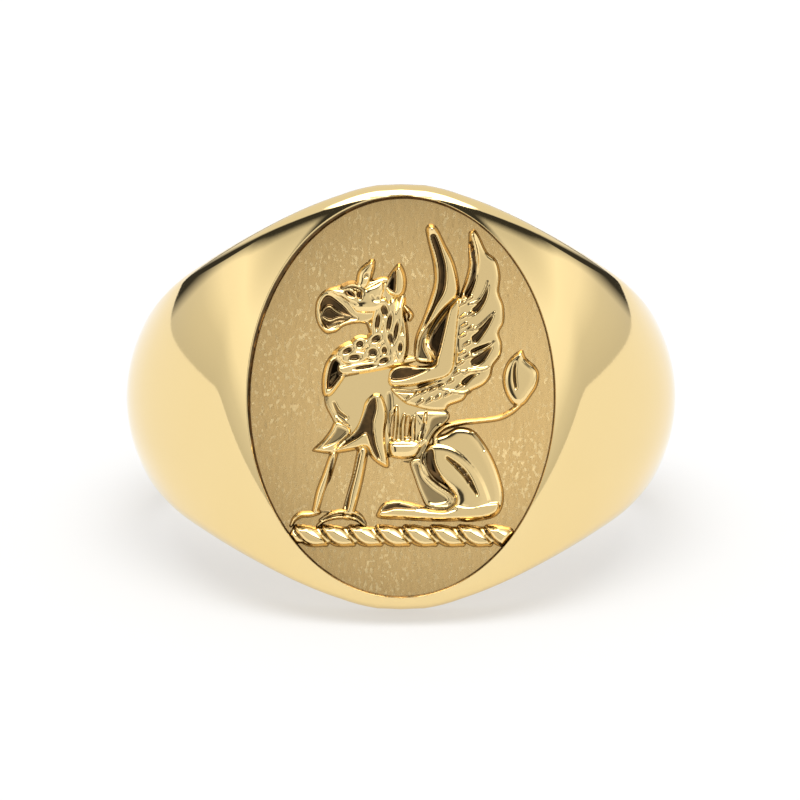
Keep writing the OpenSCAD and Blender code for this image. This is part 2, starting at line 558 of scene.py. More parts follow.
    def _skin(self) -> bmesh.types.BMesh:
        """Half the ring's skin as a grid rolled into sections, then mirrored to the whole.

        Returns:
            The skin, open at the table.
        """
        halves = [self._half_section(i) for i in range(self.stations + 1)]
        rows = 2 * (len(halves[0]) - 1)
        bm = unit_grid(self.stations, rows)
        for vertex in bm.verts:
            i = round(vertex.co.x * self.stations)
            j = round(vertex.co.y * rows)
            if 2 * j <= rows:
                vertex.co = halves[i][j]
            else:
                vertex.co = halves[i][rows - j] * np.array([1, 1, -1])
        for vertex in bm.verts:
            if abs(vertex.co.x) < self.weld:
                vertex.co.x = 0
        bmesh.ops.remove_doubles(bm, verts=bm.verts, dist=self.weld)
        bmesh.ops.mirror(bm, geom=bm.verts[:] + bm.edges[:] + bm.faces[:], axis="X",
                         matrix=Matrix.Identity(4), merge_dist=self.mirror_weld)
        bmesh.ops.remove_doubles(bm, verts=bm.verts, dist=self.weld)
        bmesh.ops.dissolve_degenerate(bm, edges=bm.edges, dist=self.sliver)
        return bm

    def _widening(self, angle: float) -> float:
        """How much wider the fine groove round the table is at an angle of the oval."""
        return self.groove_extra * max(0.0, math.cos(angle - math.radians(self.groove_side))) ** 2

    def _seat(self, bm: bmesh.types.BMesh) -> None:
        """Draws the table's edge into a low rim and down to the floor of the oval seat.

        Args:
            bm: The skin, open at the table.
        """
        s = self.sizes
        loop = [e for e in bm.edges if e.is_boundary]
        shade = bm.verts.layers.float.new("shade")
        steps = self.rim_steps + ((self.rim_steps[-1][0], -self.seat_depth),)
        for index, (inset, rise) in enumerate(steps):
            made = bmesh.ops.extrude_edge_only(bm, edges=loop)["geom"]
            loop = [g for g in made if isinstance(g, bmesh.types.BMEdge) and g.is_boundary]
            for vertex in {v for e in loop for v in e.verts}:
                t = math.atan2(vertex.co.z / s.table_b, vertex.co.x / s.table_a)
                nx, nz = math.cos(t) / s.table_a, math.sin(t) / s.table_b
                size = math.hypot(nx, nz)
                side = self._widening(t)
                if index < self.groove_last:
                    side *= inset * self.groove_onset
                spot = Vector((vertex.co.x, self.wear_layer, vertex.co.z)) * self.wear_pace
                wear = self.wear * noise.noise(spot) if inset > self.wear_from else 0.0
                deep = min(inset + side + wear, self.widest)
                vertex.co = (s.table_a * math.cos(t) - deep * nx / size, -s.face - rise,
                             s.table_b * math.sin(t) - deep * nz / size)
                # painted shade: every step after the first, the wall of the fine groove round the
                # table, is painted fully dark
                vertex[shade] = 1.0 if index >= 1 else 0.0
        bmesh.ops.edgeloop_fill(bm, edges=loop)

    def build(self, material: bpy.types.Material) -> bpy.types.Object:
        """Makes the ring body.

        Args:
            material: The polished gold.

        Returns:
            The finished piece.
        """
        bm = self._skin()
        self._seat(bm)
        bmesh.ops.recalc_face_normals(bm, faces=bm.faces)
        place_vertices(bm, self.axes.to_frame(vertex_array(bm)))
        return finished(bm, "hoop_and_shoulders", Slot.POLISHED, material, "ring_body")


# ---------------------------------------------------------------- the ground of the table


@dataclass(frozen=True)
class Drift:
    """A drifting unevenness over the table: how fast it changes across and up, and its layer."""

    across: float
    layer: float
    up: float

    def at(self, x: float, z: float) -> float:
        """Its value at a place on the table, from about -1 to 1."""
        return noise.noise(Vector((x * self.across, self.layer, z * self.up)))


@dataclass
class OvalPlate:
    """The sunk ground of the table: a cast skin of fine pits, grains and upright streaks."""

    axes: RingAxes
    sizes: RingSizes = field(default_factory=RingSizes)
    columns: int = 276
    rows: int = 346
    inset: float = 0.05
    thickness: float = 0.6
    swell: float = 0.008
    streak: float = 0.003
    grain: float = 0.006
    swells: Drift = Drift(0.55, 1.7, 0.35)
    streaks: Drift = Drift(5.5, 4.1, 1.5)
    grains: Drift = Drift(6.5, 9.3, 4.6)
    patches: Drift = Drift(0.6, 6.6, 0.5)
    grain_floor: float = 0.3
    patch_lift: float = 0.2
    sparse: float = 0.3
    crowded: float = 2.0
    # painted shade on the ground: how much, and how it grows to the left, the top and the foot
    shade_share: float = 0.17
    shade_left: float = 1.8
    shade_left_power: float = 1.5
    shade_top: float = 2.3
    shade_foot: float = 2.1

    def _texture(self, x: float, z: float) -> float:
        """Height of the cast skin at a place on the table.

        Args:
            x: The place's x.
            z: The place's z.

        Returns:
            The height.
        """
        swell, streak = self.swells.at(x, z), self.streaks.at(x, z)
        patchy = max(0.0, self.patches.at(x, z) + self.patch_lift)
        speck = (max(0.0, self.grains.at(x, z) - self.grain_floor)
                 * (self.sparse + self.crowded * patchy))
        return self.swell * swell + self.streak * streak + self.grain * speck

    def _ground_shade(self, x: float, z: float) -> float:
        """How much painted shade the ground takes at a place: more at its top and bottom, less at
        its right.
        """
        u, v = x / self.sizes.table_a, z / self.sizes.table_b
        upright = self.shade_top if v > 0 else self.shade_foot
        left = self.shade_left * max(0.0, -u) ** self.shade_left_power
        return self.shade_share * (left + upright * v * v)

    def build(self, material: bpy.types.Material) -> bpy.types.Object:
        """Makes the ground.

        Args:
            material: The textured gold.

        Returns:
            The finished piece.
        """
        s = self.sizes
        bm = unit_grid(self.columns, self.rows)
        for vertex in bm.verts:
            u, v = 2 * vertex.co.x - 1, 2 * vertex.co.y - 1
            x = (s.table_a - self.inset) * u * math.sqrt(1 - v * v / 2)
            z = (s.table_b - self.inset) * v * math.sqrt(1 - u * u / 2)
            vertex.co = (x, -s.ground - self._texture(x, z), z)
        # painted shade, darker towards the ground's top, foot and left
        shade = bm.verts.layers.float.new("shade")
        for vertex in bm.verts:
            vertex[shade] = self._ground_shade(vertex.co.x, vertex.co.z)
        rim = [e for e in bm.edges if e.is_boundary]
        made = bmesh.ops.extrude_edge_only(bm, edges=rim)["geom"]
        for vertex in (g for g in made if isinstance(g, bmesh.types.BMVert)):
            vertex.co.y = self.thickness - s.ground
        bottom = [g for g in made if isinstance(g, bmesh.types.BMEdge) and g.is_boundary]
        bmesh.ops.edgeloop_fill(bm, edges=bottom)
        bmesh.ops.recalc_face_normals(bm, faces=bm.faces)
        place_vertices(bm, self.axes.to_frame(vertex_array(bm)))
        return finished(bm, "table_ground", Slot.GROUND, material, "oval_plate")


# ---------------------------------------------------------------- relief forms


def curve_through(points: Points, closed: bool = False, steps: int = 7) -> np.ndarray:
    """A smooth curve through a list of points, each with as many values as it likes.

    Args:
        points: The points, as x, z and any further values.
        closed: Whether the curve joins its own start.
        steps: How many short pieces replace the stretch between two points.

    Returns:
        The curve's points as rows.
    """
    p = np.array(points, float)
    if closed:
        before, after, last = np.roll(p, 1, 0), np.roll(p, -1, 0), np.roll(p, -2, 0)
    else:
        before = np.vstack([2 * p[:1] - p[1:2], p[:-1]])
        after = np.vstack([p[1:], 2 * p[-1:] - p[-2:-1]])
        last = np.vstack([after[1:], 2 * after[-1:] - p[-1:]])
    rows = []
    for i in range(len(p) if closed else len(p) - 1):
        for t in np.arange(steps) / steps:
            rows.append(0.5 * (2 * p[i] + (after[i] - before[i]) * t
                               + (2 * before[i] - 5 * p[i] + 4 * after[i] - last[i]) * t ** 2
                               + (3 * p[i] - before[i] - 3 * after[i] + last[i]) * t ** 3))
    if not closed:
        rows.append(p[-1])
    return np.array(rows)


def beside(line: np.ndarray, x: np.ndarray, z: np.ndarray, closed: bool = False) -> tuple:
    """Where points lie beside a line.

    Args:
        line: The line's rows of x, z and further values.
        x: The points' x.
        z: The points' z.
        closed: Whether the line joins its own start.

    Returns:
        The distance from the line, negative to the left of its direction, and the line's further
        values at the nearest place, as rows.
    """
    ends = np.vstack([line, line[:1]]) if closed else line
    best = np.full(x.shape, np.inf)
    side = np.zeros(x.shape)
    values = np.zeros((line.shape[1] - 2,) + x.shape)
    for a, b in zip(ends[:-1], ends[1:]):
        dx, dz = b[0] - a[0], b[1] - a[1]
        size = dx * dx + dz * dz + 1e-12
        t = np.clip(((x - a[0]) * dx + (z - a[1]) * dz) / size, 0, 1)
        ex, ez = x - a[0] - t * dx, z - a[1] - t * dz
        d = ex * ex + ez * ez
        near = d < best
        best = np.where(near, d, best)
        side = np.where(near, np.sign(dz * ex - dx * ez), side)
        for k in range(len(values)):
            values[k] = np.where(near, a[k + 2] + (b[k + 2] - a[k + 2]) * t, values[k])
    return np.sqrt(best) * side, values


def inside_distance(line: np.ndarray, x: np.ndarray, z: np.ndarray) -> np.ndarray:
    """How far points lie inside a closed outline.

    Args:
        line: The outline's rows of x and z.
        x: The points' x.
        z: The points' z.

    Returns:
        The distances from the outline, negative outside it.
    """
    d, _ = beside(line, x, z, closed=True)
    inside = np.zeros(x.shape, bool)
    for a, b in zip(line, np.roll(line, -1, 0)):
        crosses = (a[1] > z) != (b[1] > z)
        at = a[0] + (z - a[1]) * (b[0] - a[0]) / (b[1] - a[1] + 1e-12)
        inside ^= crosses & (x < at)
    return np.where(inside, np.abs(d), -np.abs(d))


@dataclass(frozen=True)
class Form:
    """A raised or cut form of the relief, with how far round it the relief can change."""

    points: Points
    height: float
    reach: float = 0.5
    wall_slope: ClassVar[float] = 2.6
    blend: ClassVar[float] = 0.09
    foot: ClassVar[float] = 0.06
    foot_dark: ClassVar[float] = 0.85
    foot_fade: ClassVar[float] = 1.5
    thinnest: ClassVar[float] = 0.01
    outline_steps: ClassVar[int] = 4
    cuts: ClassVar[bool] = False

    def near(self, x: np.ndarray, z: np.ndarray) -> np.ndarray:
        """Which places on the table the form can change."""
        left, right, low, high = self.box()
        return (x > left) & (x < right) & (z > low) & (z < high)

    def box(self) -> tuple[float, float, float, float]:
        """The stretch of the table that the form can change.

        Returns:
            The low and high x and the low and high z.
        """
        p = np.array([q[:2] for q in self.points])
        low, high = p.min(0) - self.reach, p.max(0) + self.reach
        return low[0], high[0], low[1], high[1]

    def heights(self, x: np.ndarray, z: np.ndarray) -> np.ndarray:
        """The form's own height at places on the table, or the negative depth of a cut."""
        raise NotImplementedError

    def painted_shading(self, x: np.ndarray, z: np.ndarray) -> np.ndarray:
        """How much painted shade the form lays on places on the table, from 0 to 1."""
        return np.zeros(x.shape)

    def wall_foot_shade(self, inside: np.ndarray) -> np.ndarray:
        """The painted shade along the foot of a wall, by how far inside the form's edge places lie.
        """
        return self.foot_dark * np.clip(self.foot_fade - inside / self.foot, 0, 1)


@dataclass(frozen=True)
class Ridge(Form):
    """A raised line of x, z, half width: two flanks that meet in a rounded keel.

    keel is where the keel runs, from -1 on the left of the line's direction to 1 on its right;
    left and right are the slopes of the flanks, and base is the height that it stands on.
    """

    keel: float = 0.0
    left: float = 0.6
    right: float = 0.6
    rounding: float = 0.04
    base: float = 0.0
    thin_share: ClassVar[float] = 0.35
    full_width: ClassVar[float] = 0.22

    def painted_shading(self, x: np.ndarray, z: np.ndarray) -> np.ndarray:
        """The painted shade along the foot of the walls."""
        d, (width,) = beside(curve_through(self.points), x, z)
        return self.wall_foot_shade(width - np.abs(d))

    def heights(self, x: np.ndarray, z: np.ndarray) -> np.ndarray:
        """Height of the ridge.

        Args:
            x: The places' x.
            z: The places' z.

        Returns:
            The heights over the ground.
        """
        d, (width,) = beside(curve_through(self.points), x, z)
        width = np.maximum(width, self.thinnest)
        off = d - self.keel * width
        slope = np.where(off > 0, self.right, self.left)
        tall = np.minimum(1, self.thin_share + width / self.full_width)
        drop = slope * (np.sqrt(off * off + self.rounding ** 2) - self.rounding)
        rise = (self.height - self.base) * tall - drop
        return self.base + smooth_min(rise, self.wall_slope * (width - np.abs(d)), self.blend)


@dataclass(frozen=True)
class Pillow(Form):
    """A raised patch within an outline, crowned over its spread from the edge."""

    crown: float = 0.4
    spread: float = 0.2

    def _inside(self, x: np.ndarray, z: np.ndarray) -> np.ndarray:
        """How far places lie inside the outline."""
        return inside_distance(curve_through(self.points, True, self.outline_steps), x, z)

    def painted_shading(self, x: np.ndarray, z: np.ndarray) -> np.ndarray:
        """The painted shade along the foot of the wall."""
        return self.wall_foot_shade(self._inside(x, z))

    def heights(self, x: np.ndarray, z: np.ndarray) -> np.ndarray:
        """Height of the patch.

        Args:
            x: The places' x.
            z: The places' z.

        Returns:
            The heights over the ground.
        """
        d = self._inside(x, z)
        t = np.clip(1 - d / self.spread, 0, 1)
        top = self.height * (1 - self.crown * t * t)
        return smooth_min(top, self.wall_slope * d, self.blend)


@dataclass(frozen=True)
class Hollow(Form):
    """A sunk face within an outline, deepest at its left, dark with painted shade."""

    shade_level: float = 0.97
    edge: float = 0.06
    reach: float = 0.05
    shallower: ClassVar[float] = 0.55
    cuts: ClassVar[bool] = True

    def painted_shading(self, x: np.ndarray, z: np.ndarray) -> np.ndarray:
        """The painted shade, fading out over the hollow's edge."""
        d = inside_distance(curve_through(self.points, True, self.outline_steps), x, z)
        return self.shade_level * ease(d / self.edge)

    def heights(self, x: np.ndarray, z: np.ndarray) -> np.ndarray:
        """Depth of the hollow, as a negative height.

        Args:
            x: The places' x.
            z: The places' z.

        Returns:
            The negative depths.
        """
        left, right, _, _ = self.box()
        across = np.clip((x - left) / (right - left), 0, 1)
        return -self.height * (1 - self.shallower * across) * self.painted_shading(x, z) / self.shade_level


@dataclass(frozen=True)
class Groove(Form):
    """A rounded cut along a line of x, z, half width."""

    dark_depth: ClassVar[float] = 0.12
    flatness: ClassVar[float] = 2.4
    narrowing: ClassVar[float] = 1.2
    cuts: ClassVar[bool] = True

    def painted_shading(self, x: np.ndarray, z: np.ndarray) -> np.ndarray:
        """The painted shade, dense along the middle of a deep cut."""
        return np.minimum(1, self.height / self.dark_depth) * -self.heights(x, z) / self.height

    def heights(self, x: np.ndarray, z: np.ndarray) -> np.ndarray:
        """Depth of the cut, as a negative height.

        Args:
            x: The places' x.
            z: The places' z.

        Returns:
            The negative depths.
        """
        d, (width,) = beside(curve_through(self.points), x, z)
        u = np.abs(d) / np.maximum(width, self.thinnest)
        return -self.height * np.exp(-(u ** self.flatness) * self.narrowing)


@dataclass(frozen=True)
class Pit(Form):
    """Round bumps or dimples, each of x, z, radius; a negative height raises them."""

    dark_depth: ClassVar[float] = 0.1
    narrowing: ClassVar[float] = 1.3
    cuts: ClassVar[bool] = True

    def painted_shading(self, x: np.ndarray, z: np.ndarray) -> np.ndarray:
        """The painted shade in the dimples."""
        return np.clip(-self.heights(x, z) / self.dark_depth, 0, 1)

    def heights(self, x: np.ndarray, z: np.ndarray) -> np.ndarray:
        """Depth of the dimples, as a negative height.

        Args:
            x: The places' x.
            z: The places' z.

        Returns:
            The negative depths.
        """
        total = np.zeros(x.shape)
        for px, pz, radius in self.points:
            d = ((x - px) ** 2 + (z - pz) ** 2) / radius ** 2
            total += np.exp(-d * self.narrowing)
        return -self.height * total


@dataclass(frozen=True)
class Cup(Form):
    """Oval cups of x, z, half width, half height, turn in degrees: a lip round a dark middle."""

    sink: float = 0.11
    lip: float = 0.08
    reach: float = 0.7
    far_off: ClassVar[float] = 9.0
    steepness: ClassVar[float] = 2.0
    dark_gain: ClassVar[float] = 1.2
    darkest: ClassVar[float] = 0.95

    def _middle(self, x: np.ndarray, z: np.ndarray) -> tuple[np.ndarray, np.ndarray]:
        """The distance outside the nearest cup's middle in mm and how deep inside it is.

        Args:
            x: The places' x.
            z: The places' z.

        Returns:
            The distance outside, in millimetres, and how deep inside the places are, from 0 to 1.
        """
        outside, inside = np.full(x.shape, self.far_off), np.zeros(x.shape)
        for px, pz, a, b, turn in self.points:
            c, s = math.cos(math.radians(turn)), math.sin(math.radians(turn))
            u = ((x - px) * c + (z - pz) * s) / a
            v = ((z - pz) * c - (x - px) * s) / b
            r = np.sqrt(u * u + v * v)
            outside = np.minimum(outside, (r - 1) * min(a, b))
            inside = np.maximum(inside, np.clip(self.steepness * (1 - r), 0, 1))
        return outside, inside

    def painted_shading(self, x: np.ndarray, z: np.ndarray) -> np.ndarray:
        """The painted shade that darkens the cups' middles."""
        return np.clip(self.dark_gain * self._middle(x, z)[1], 0, self.darkest)

    def heights(self, x: np.ndarray, z: np.ndarray) -> np.ndarray:
        """Height of the cups.

        Args:
            x: The places' x.
            z: The places' z.

        Returns:
            The heights over the ground.
        """
        outside, inside = self._middle(x, z)
        lip = self.height - self.sink * inside
        return np.minimum(lip, self.height - (outside - self.lip) * self.wall_slope)


@dataclass
class Relief:
    """A raised piece of the crest: a fine grid lifted by its forms, closed below the ground."""

    axes: RingAxes
    name: str
    nodes: tuple[str, ...]
    forms: Sequence[Form]
    pitch: float = 0.034
    sizes: RingSizes = field(default_factory=RingSizes)
    skirt: float = 0.06
    margin: float = 0.03
    soften: int = 1
    top: float = 0.43
    rim_slope: float = 3.0

    def surface(self, x: np.ndarray, z: np.ndarray) -> tuple[np.ndarray, np.ndarray]:
        """The whole piece at places on the table.

        Args:
            x: The places' x.
            z: The places' z.

        Returns:
            The heights over the ground and the painted shade from 0 to 1.
        """
        total, dim = np.full(x.shape, -1.0), np.zeros(x.shape)
        for form in self.forms:
            near = form.near(x, z)
            own, dark = form.heights(x[near], z[near]), form.painted_shading(x[near], z[near])
            if form.cuts:
                total[near] += own
                dim[near] = np.maximum(dim[near], dark)
            else:
                dim[near] = np.where(own > total[near], dark, dim[near])
                total[near] = np.maximum(total[near], own)
        s = self.sizes
        round_about = np.sqrt((x / (s.table_a - self.margin)) ** 2
                              + (z / (s.table_b - self.margin)) ** 2)
        to_rim = (1 - round_about) * s.table_a * self.rim_slope
        return np.minimum(np.minimum(total, self.top), to_rim), dim

    def _grid(self) -> tuple[bmesh.types.BMesh, np.ndarray]:
        """A grid over all the forms, and its places on the table.

        Returns:
            The grid, and its vertices' places on the table as rows of x and z.
        """
        boxes = np.array([f.box() for f in self.forms if not f.cuts])
        left, right = boxes[:, 0].min(), boxes[:, 1].max()
        low, high = boxes[:, 2].min(), boxes[:, 3].max()
        bm = unit_grid(round((right - left) / self.pitch), round((high - low) / self.pitch))
        places = vertex_array(bm)[:, :2] * [right - left, high - low] + [left, low]
        return bm, places

    def build(self, material: bpy.types.Material) -> bpy.types.Object:
        """Makes the piece.

        Args:
            material: The gold it is dressed in.

        Returns:
            The finished piece.
        """
        bm, places = self._grid()
        height, dim = self.surface(places[:, 0], places[:, 1])
        ground = self.sizes.ground
        deep = [f for f in bm.faces if all(height[v.index] < -self.skirt for v in f.verts)]
        # the forms' painted shade goes into the 'shade' attribute, which darkens the relief gold
        shade = bm.verts.layers.float.new("shade")
        for vertex, dark in zip(bm.verts, dim):
            vertex[shade] = dark
        floor = np.maximum(height, -self.skirt)
        place_vertices(bm, np.stack([places[:, 0], -ground - floor, places[:, 1]], axis=1))
        bmesh.ops.delete(bm, geom=deep, context="FACES")
        for _ in range(self.soften):
            bmesh.ops.smooth_vert(bm, verts=bm.verts, factor=0.5, use_axis_y=True)
        made = bmesh.ops.extrude_face_region(bm, geom=bm.faces[:], use_keep_orig=True)["geom"]
        for vertex in (g for g in made if isinstance(g, bmesh.types.BMVert)):
            vertex.co.y = 2 * self.skirt - ground
        bmesh.ops.recalc_face_normals(bm, faces=bm.faces)
        place_vertices(bm, self.axes.to_frame(vertex_array(bm)))
        return finished(bm, self.name, Slot.RELIEF, material, *self.nodes)


# ---------------------------------------------------------------- the crest


@dataclass
class Griffin:
    """The seated griffin, its raised wing and the twisted bar, as forms on the table."""

    axes: RingAxes
    strands: int = 8
    bar_z: float = -5.5
    bar_left: float = -4.2
    bar_right: float = 4.5
    scale_wide: float = 1.2
    scale_tall: float = 1.12

    def head(self) -> list[Form]:
        """Skull, open beak, eye and ears.

        Returns:
            The forms, in the order in which they are laid.
        """
        return [
            # low plate and the lip round the open beak
            Pillow([(-3.41, 3.6), (-3.29, 3.97), (-3, 4.26), (-2.44, 4.45), (-1.85, 4.56),
                    (-1.25, 4.63), (-0.66, 4.79), (-0.26, 4.53), (-0.17, 4), (-0.46, 3.67),
                    (-0.92, 3.21), (-1.25, 2.95), (-1.78, 2.91), (-2.24, 2.81), (-2.57, 2.62),
                    (-2.9, 2.48), (-3.18, 2.67), (-3.34, 3.08)], 0.2, crown=0.1),
            Ridge([(-2.9, 4.18, 0.07), (-3.22, 3.87, 0.08), (-3.33, 3.47, 0.09),
                   (-3.26, 3.01, 0.1), (-3.03, 2.7, 0.12), (-2.67, 2.65, 0.12),
                   (-2.31, 2.89, 0.11), (-1.78, 3.01, 0.09), (-1.25, 2.95, 0.08)], 0.33),
            # mouth, its folds and the tongue
            Hollow([(-3.22, 3.67), (-3.04, 3.99), (-2.82, 4.03), (-2.5, 3.82), (-2.21, 3.57),
                    (-1.98, 3.31), (-1.68, 3.09), (-2.11, 3.01), (-2.64, 2.8), (-2.93, 2.72),
                    (-3.15, 2.95), (-3.24, 3.31)], 0.16),
            Ridge([(-3.15, 3.26, 0.05), (-3.03, 3.5, 0.06), (-2.82, 3.57, 0.07),
                   (-2.6, 3.42, 0.07), (-2.31, 3.26, 0.06), (-1.81, 3.14, 0.05)], 0.32, base=0.06),
            Ridge([(-3.11, 3.14, 0.05), (-2.83, 3.01, 0.07), (-2.44, 3.13, 0.06),
                   (-1.91, 3.09, 0.04)], 0.3, base=0.06),
            Ridge([(-2.91, 2.8, 0.04), (-2.57, 2.95, 0.05), (-2.21, 3.01, 0.04)], 0.29, base=0.06),
            # upper beak, skull and cheek
            Pillow([(-3.08, 4), (-2.93, 4.23), (-2.7, 4.36), (-2.31, 4.38), (-1.91, 4.41),
                    (-1.52, 4.34), (-1.12, 4.53), (-0.69, 4.69), (-0.59, 4.26), (-0.66, 3.93),
                    (-0.56, 3.67), (-0.82, 3.33), (-1.12, 3.26), (-1.61, 3.26), (-1.85, 3.33),
                    (-2.04, 3.57), (-2.31, 3.79), (-2.57, 3.93),
                    (-2.8, 4.07)], 0.36, crown=0.45, spread=0.36),
            Pit([(-1.25, 3.6, 0.26), (-0.89, 3.67, 0.2), (-1.32, 4.36, 0.3), (-2.73, 4.18, 0.2),
                 (-1.52, 3.6, 0.16)], -0.035),
            Groove([(-2.41, 4, 0.05), (-2.11, 3.79, 0.06), (-1.78, 3.67, 0.05)], 0.05),
            Groove([(-1.17, 4, 0.04), (-0.99, 3.82, 0.05), (-0.66, 3.93, 0.04)], 0.06),
            # eye
            Ridge([(-2.31, 4.32, 0.06), (-1.91, 4.43, 0.08), (-1.52, 4.26, 0.07),
                   (-1.42, 4, 0.05)], 0.45, base=0.3),
            Hollow([(-2.27, 4.18), (-2.11, 4.26), (-1.91, 4.18), (-1.78, 4), (-1.91, 3.92),
                    (-2.14, 4)], 0.14, edge=0.05),
            Hollow([(-1.71, 4.18), (-1.57, 4.21), (-1.52, 3.93), (-1.65, 3.85),
                    (-1.78, 4)], 0.14, edge=0.05),
            Pit([(-1.82, 4.14, 0.08)], -0.12),
            Pit([(-0.92, 3.93, 0.06), (-0.59, 4.53, 0.06)], 0.09),
            # far ear
            Ridge([(-1.52, 4.51, 0.3), (-1.42, 4.86, 0.33), (-1.25, 5.15, 0.25),
                   (-1.15, 5.35, 0.15)], 0.38, left=0.3, right=0.35),
            Hollow([(-1.5, 4.72), (-1.42, 4.92), (-1.27, 4.89),
                    (-1.32, 4.72)], 0.12, shade_level=0.7, edge=0.05),
            # near ear
            Pillow([(-0.66, 4.23), (-0.63, 4.59), (-0.36, 5.04), (-0.07, 5.33), (0.14, 5.05),
                    (0.24, 4.59), (0.17, 4.13), (-0.07, 3.9),
                    (-0.43, 3.97)], 0.4, crown=0.3, spread=0.2),
            Hollow([(-0.58, 4.33), (-0.48, 4.63), (-0.25, 5.04), (-0.17, 4.92), (-0.17, 4.53),
                    (-0.21, 4.18), (-0.36, 4.14)], 0.2, edge=0.05),
            # lock behind the ear
            Ridge([(-0.03, 3.72, 0.09), (0.16, 3.53, 0.12), (0.39, 3.26, 0.13),
                   (0.34, 3.08, 0.1)], 0.31),
            Hollow([(-0.03, 3.67), (0.08, 3.68), (0.33, 3.31), (0.32, 3.18),
                    (0.14, 3.35)], 0.12, shade_level=0.75, edge=0.04),
        ]

    def neck(self) -> list[Form]:
        """Neck of overlapping scales, with the plume on the chest.

        Returns:
            The forms, in the order in which they are laid.
        """
        scales = [(-0.66, 3.42, 0.13, 0.26, 12), (-0.93, 2.98, 0.09, 0.38, -8),
                  (-0.47, 2.95, 0.09, 0.42, -10), (-0.2, 2.6, 0.08, 0.46, -10),
                  (-0.99, 2.3, 0.22, 0.13, 32), (-0.4, 2.3, 0.11, 0.27, 14),
                  (-1.12, 1.76, 0.19, 0.17, 10), (-1.64, 2.09, 0.15, 0.13, 25),
                  (-2.13, 1.83, 0.22, 0.11, 26), (-1.85, 1.56, 0.25, 0.12, 8),
                  (-0.68, 1.44, 0.22, 0.11, 24), (-1.45, 1.18, 0.5, 0.07, 9),
                  (-0.03, 1.95, 0.08, 0.24, -4), (-0.66, 1.84, 0.1, 0.16, 0)]
        return [
            Pillow([(-1.25, 2.88), (-0.99, 3.31), (-0.66, 3.64), (-0.26, 3.67), (0, 3.41),
                    (0.14, 2.62), (0.2, 1.96), (0.14, 1.43), (-0.3, 1.36), (-0.59, 1.13),
                    (-1.25, 1), (-1.78, 0.85), (-2.21, 0.8), (-2.37, 1.1), (-2.93, 1.36),
                    (-2.75, 1.69), (-2.24, 1.92), (-1.71, 2.25), (-1.25, 2.39)], 0.22, crown=0.2),
            Cup([(x, z, self.scale_wide * a, self.scale_tall * b, turn)
                 for x, z, a, b, turn in scales], 0.33),
            # plume
            Pillow([(-3.15, 0.21), (-3.15, 0.77), (-3.03, 1.3), (-2.82, 1.58), (-2.5, 1.64),
                    (-2.31, 1.33), (-2.33, 0.97), (-2.16, 0.85), (-2.44, 0.38), (-2.75, 0.01),
                    (-3.03, -0.02)], 0.34, crown=0.2, spread=0.15),
            Hollow([(-2.97, 0.34), (-2.93, 0.87), (-2.78, 1.4), (-2.58, 1.54), (-2.4, 1.33),
                    (-2.44, 1.07), (-2.31, 0.89), (-2.54, 0.57), (-2.78, 0.31)], 0.2),
            Ridge([(-2.82, 0.85, 0.04), (-2.6, 0.97, 0.05), (-2.36, 1.09, 0.05)], 0.34, base=0.12),
            Ridge([(-2.82, 0.54, 0.04), (-2.67, 0.77, 0.05), (-2.57, 0.94, 0.04)], 0.34, base=0.12),
            # back of the neck
            Ridge([(0.07, 1.43, 0.08), (0.16, 1.96, 0.1), (0.14, 2.62, 0.1),
                   (0.03, 3.34, 0.08)], 0.36, base=0.14),
            Ridge([(-1.17, 2.39, 0.05), (-1.2, 2.68, 0.08), (-1.32, 2.95, 0.07),
                   (-1.52, 3.01, 0.05)], 0.32, base=0.1),
            Ridge([(-2.27, 0.84, 0.05), (-1.78, 0.97, 0.08), (-1.25, 1.1, 0.08),
                   (-0.59, 1.27, 0.08), (-0.26, 1.4, 0.06)], 0.36, base=0.14),
        ]

